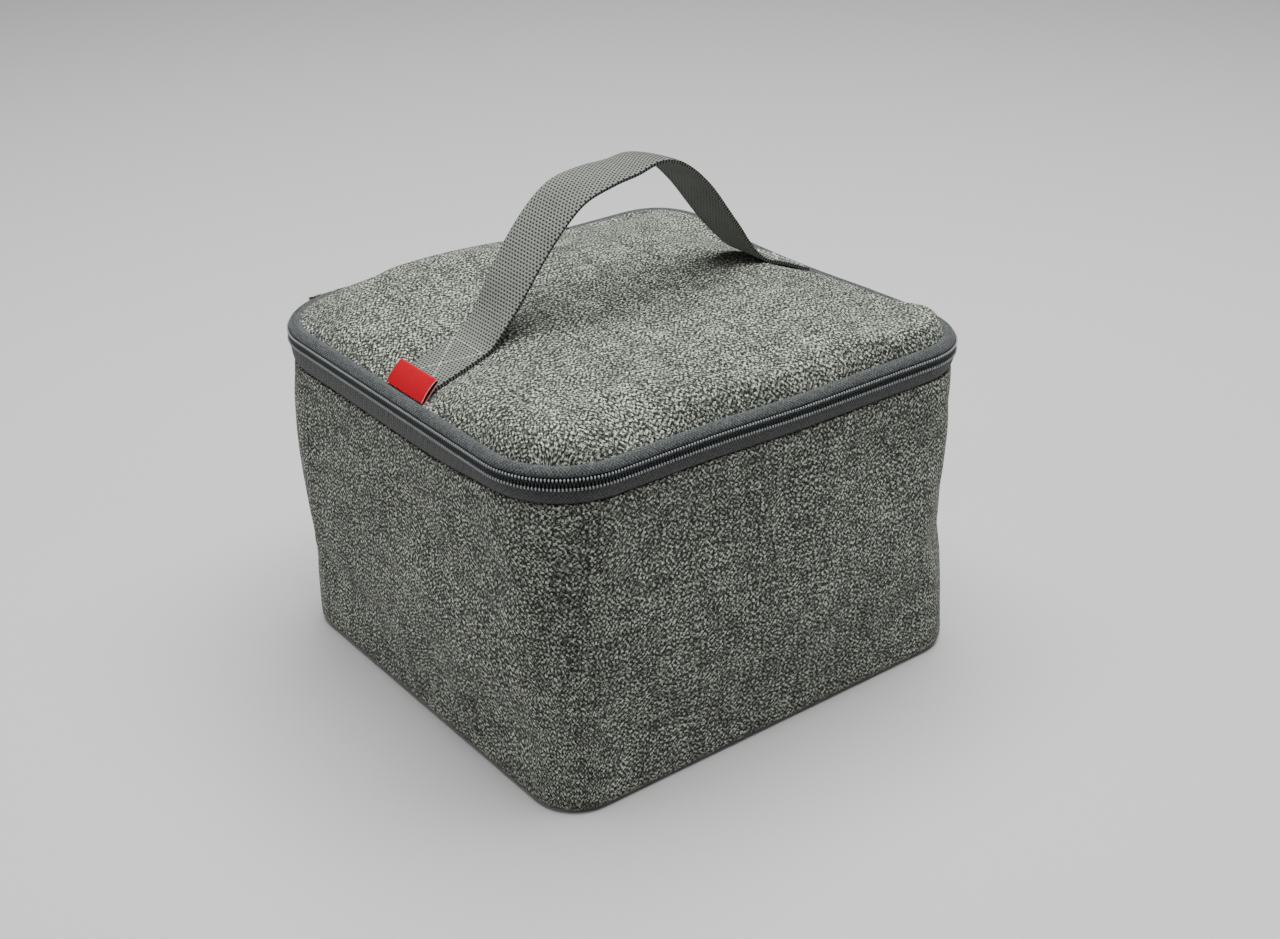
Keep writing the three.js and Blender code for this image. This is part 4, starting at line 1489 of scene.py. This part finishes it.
class BAG_OT_linings(bpy.types.Operator):
    """Make the insulating film inside the walls, the base and the lid"""

    bl_idname = "bag.linings"
    bl_label = "Linings"

    def execute(self, context):
        sizes = context.scene.bag_sizes
        film = finish_of("lining_film", lining_film, context.scene.bag_colours)
        inset = sizes.lining_inset
        bottom = lining_low.z + 1.0 * mm
        turned_edge = 3 * mm * np.array([0.0, 0.3, 1.0])
        rise = np.linspace(bottom + 9 * mm, sizes.wall_height - mm, 24)
        heights = np.concatenate([bottom + turned_edge, rise])
        insets = np.concatenate([inset + turned_edge[::-1], np.full(len(rise), inset)])
        climb = lengths_along(np.column_stack([heights, insets]))
        columns = 150

        def wall(column, row):
            shares = column % columns / columns
            high = heights[row]
            points, outward = wall_outline(shares, insets[row], high, sizes)
            crease = np.sin(shares * 2 * math.pi * 23 + high * 60) * np.sin(high * 95 + shares * 40)
            free = ramped(high, 0.012, 0.03) * eased((sizes.wall_height - 0.012 - high) / 0.02)
            return points + outward * (0.45 * mm * crease * free)[:, None]

        def up(column, row):
            return column / columns * outline_length(sizes), climb[row]

        walls = sheet_of("wall_film", columns, len(heights) - 1, wall, up, (0, 0, 0.07), closed=True)
        as_cloth(walls, film_thickness)
        dress(walls, film, ["wall_lining"], "box")
        self.flat_film(sizes, film, "base_film", "base_lining", "box", bottom - 0.2 * mm, 1.0)
        self.flat_film(sizes, film, "lid_film", "lid_lining", "lid", lid_lining_low.z, -1.0)
        return {"FINISHED"}

    def flat_film(self, sizes, film, name, node, body, height, up):
        """A film over the base or under the lid, puffed up or down"""
        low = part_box(node)[0]
        width, depth = -2 * low.x, -2 * low.y
        corner = (sizes.base_corner if body == "box" else sizes.box_corner) - 8 * mm
        cells = 44

        def shape(column, row):
            a, b = column * 2 / cells - 1, row * 2 / cells - 1
            points, inset = panel(a, b, width, depth, corner, sizes)
            if body == "lid":
                points = bowed(points, np.full(len(points), sizes.lid_seam), sizes)
            puff = 1.6 * mm * eased(inset / (30 * mm)) * (1 - 0.45 * ramped(inset, 40 * mm, 60 * mm))
            crease = 0.35 * mm * np.sin(points[:, 0] * 130 + points[:, 1] * 40) * np.sin(points[:, 1] * 110)
            return np.column_stack([points, height + up * (puff + crease * eased(inset / (25 * mm)))])

        def along(column, row):
            return column / cells * width, row / cells * depth

        piece = sheet_of(name, cells, cells, shape, along, (0, 0, height - up * 0.05))
        as_cloth(piece, film_thickness)
        dress(piece, film, [node], body)


# Profiles of the bindings: depths in from the walls and heights over their seam, in millimetres
mouth_profile = [
    (2.7, 0.2), (3.4, 1.0), (5.0, 1.2), (6.4, 0.8),
    (7.0, -0.6), (7.0, -4.0), (6.8, -7.6), (6.2, -8.0),
]
lid_edge_profile = [
    (4.4, 14.4), (4.8, 13.4), (6.2, 12.8), (9.0, 12.5),
    (11.5, 12.45), (14.0, 12.6), (15.6, 13.0), (16.1, 14.0),
]

# Rows of stitches on the bindings: name, body, place outward of the walls and height over their seam
binding_seams = [("mouth_stitches", "box", -7.15, -6.0), ("lid_edge_stitches", "lid", -14.6, 12.55)]


class BAG_OT_bindings(bpy.types.Operator):
    """Make the binding tapes round the mouth and under the lid's edge, with their stitches"""

    bl_idname = "bag.bindings"
    bl_label = "Bindings"

    def execute(self, context):
        sizes = context.scene.bag_sizes
        colours = context.scene.bag_colours
        cloth = finish_of("binding_cloth", binding_cloth, colours)
        thread = finish_of("zip_thread", twisted_thread, colours.zip_thread)
        top = sizes.wall_height
        rings = {
            "mouth_binding": ("box", "body_binding", mouth_profile),
            "lid_edge_binding": ("lid", "lid_binding", lid_edge_profile),
        }
        columns = 150
        for name, (body, node, profile) in rings.items():
            rows = np.array(profile) * mm
            climb = lengths_along(rows)

            def shape(column, row):
                shares = column % columns / columns
                return zip_line(shares, -rows[row, 0], top + rows[row, 1], sizes)[0]

            def along(column, row):
                return column / columns * outline_length(sizes), climb[row]

            under = (0, 0, 0.05) if body == "box" else (0, 0, 0.4)
            ring = sheet_of(name, columns, len(rows) - 1, shape, along, under, closed=True)
            if body == "box":
                self.face_in(ring)
            as_cloth(ring, 0.5 * mm)
            dress(ring, cloth, [node], body)
        step = 3.2 * mm
        count = round(outline_length(sizes) / step)
        shares = (np.arange(count) + 0.5) / count
        for name, body, out, rise in binding_seams:
            places = outward_places(shares, out * mm, top + rise * mm, sizes)
            seam = repeat(name, stitch_model("stitch", step * 0.8, 0.28 * mm), places)
            dress(seam, thread, (), body)
        return {"FINISHED"}

    @staticmethod
    def face_in(ring):
        """Turns the binding's faces towards the inside of the bag and up"""
        total = sum(
            (face.normal.z - (face.center.xy.dot(face.normal.xy) / face.center.xy.length)) * face.area
            for face in ring.data.polygons
        )
        if total < 0:
            edit_all(ring, bpy.ops.mesh.flip_normals)


# Stage

# The camera's place, its right and up directions, and its lens in millimetres
camera_place = (-0.4664, -0.6251, 0.4947)
camera_right = (0.7919, -0.6105, -0.0106)
camera_up = (0.2915, 0.3628, 0.8851)
camera_lens = 52.34

floor_size = 12.0
sky_strength = 0.1

# Softboxes: name, place, size and power
softboxes = [
    ("overhead", (0.14, 0.03, 1.55), 1.5, 62.0),
    ("left", (-1.5, 0.6, 0.6), 0.9, 8.0),
    ("right", (1.3, -1.25, 0.6), 0.9, 5.0),
]


class BAG_OT_stage(bpy.types.Operator):
    """Make the floor, the softboxes, the sky and the camera"""

    bl_idname = "bag.stage"
    bl_label = "Stage"

    def execute(self, context):
        bpy.ops.object.select_all(action="DESELECT")
        bpy.ops.mesh.primitive_plane_add(size=floor_size, location=(0, 0, -0.1 * mm))
        floor = set_place(added("studio_floor"))
        floor.data.materials.append(finish_of("pale_floor", pale_floor, context.scene.bag_colours))
        for name, place, size, power in softboxes:
            bpy.ops.object.light_add(type="AREA", location=place)
            light = bpy.context.object
            light.name = f"{name}_softbox"
            light.data.size = size
            light.data.energy = power
            aim = Vector((0, 0, 0.1)) - Vector(place)
            light.rotation_euler = aim.to_track_quat("-Z", "Y").to_euler()
        world = bpy.data.worlds.new("studio_sky")
        world.use_nodes = True
        sky = world.node_tree.nodes["Background"].inputs
        sky["Color"].default_value = (1, 1, 1, 1)
        sky["Strength"].default_value = sky_strength
        context.scene.world = world
        bpy.ops.object.camera_add()
        camera = bpy.context.object
        camera.data.sensor_width = 36.0
        camera.data.lens = camera_lens
        right, up = Vector(camera_right), Vector(camera_up)
        turn = Matrix((right, up, right.cross(up))).transposed().to_4x4()
        camera.matrix_world = Matrix.Translation(camera_place) @ turn
        context.scene.camera = camera
        return {"FINISHED"}


class BAG_PT_maker(bpy.types.Panel):
    """Lists the bag's pieces, sizes and colours"""

    bl_idname = "BAG_PT_maker"
    bl_label = "Bento bag"
    bl_space_type = "VIEW_3D"
    bl_region_type = "UI"
    bl_category = "Bag"

    def draw(self, context):
        for operator in operators:
            self.layout.operator(operator.bl_idname)
        for group in (context.scene.bag_sizes, context.scene.bag_colours):
            for name in group.__annotations__:
                self.layout.prop(group, name)


operators = [
    BAG_OT_stage,
    BAG_OT_walls,
    BAG_OT_base,
    BAG_OT_lid,
    BAG_OT_hinge,
    BAG_OT_zip_tapes,
    BAG_OT_zip_coils,
    BAG_OT_zip_stitches,
    BAG_OT_slider,
    BAG_OT_pull,
    BAG_OT_handle,
    BAG_OT_handle_stitches,
    BAG_OT_label,
    BAG_OT_linings,
    BAG_OT_bindings,
]

classes = [BagSizes, BagColours, *operators, BAG_PT_maker]


def register():
    for each in classes:
        bpy.utils.register_class(each)
    bpy.types.Scene.bag_sizes = bpy.props.PointerProperty(type=BagSizes)
    bpy.types.Scene.bag_colours = bpy.props.PointerProperty(type=BagColours)


def unregister():
    del bpy.types.Scene.bag_colours
    del bpy.types.Scene.bag_sizes
    for each in reversed(classes):
        bpy.utils.unregister_class(each)


def main():
    register()
    for operator in operators:
        group, name = operator.bl_idname.split(".")
        getattr(getattr(bpy.ops, group), name)()


if __name__ == "__main__":
    main()
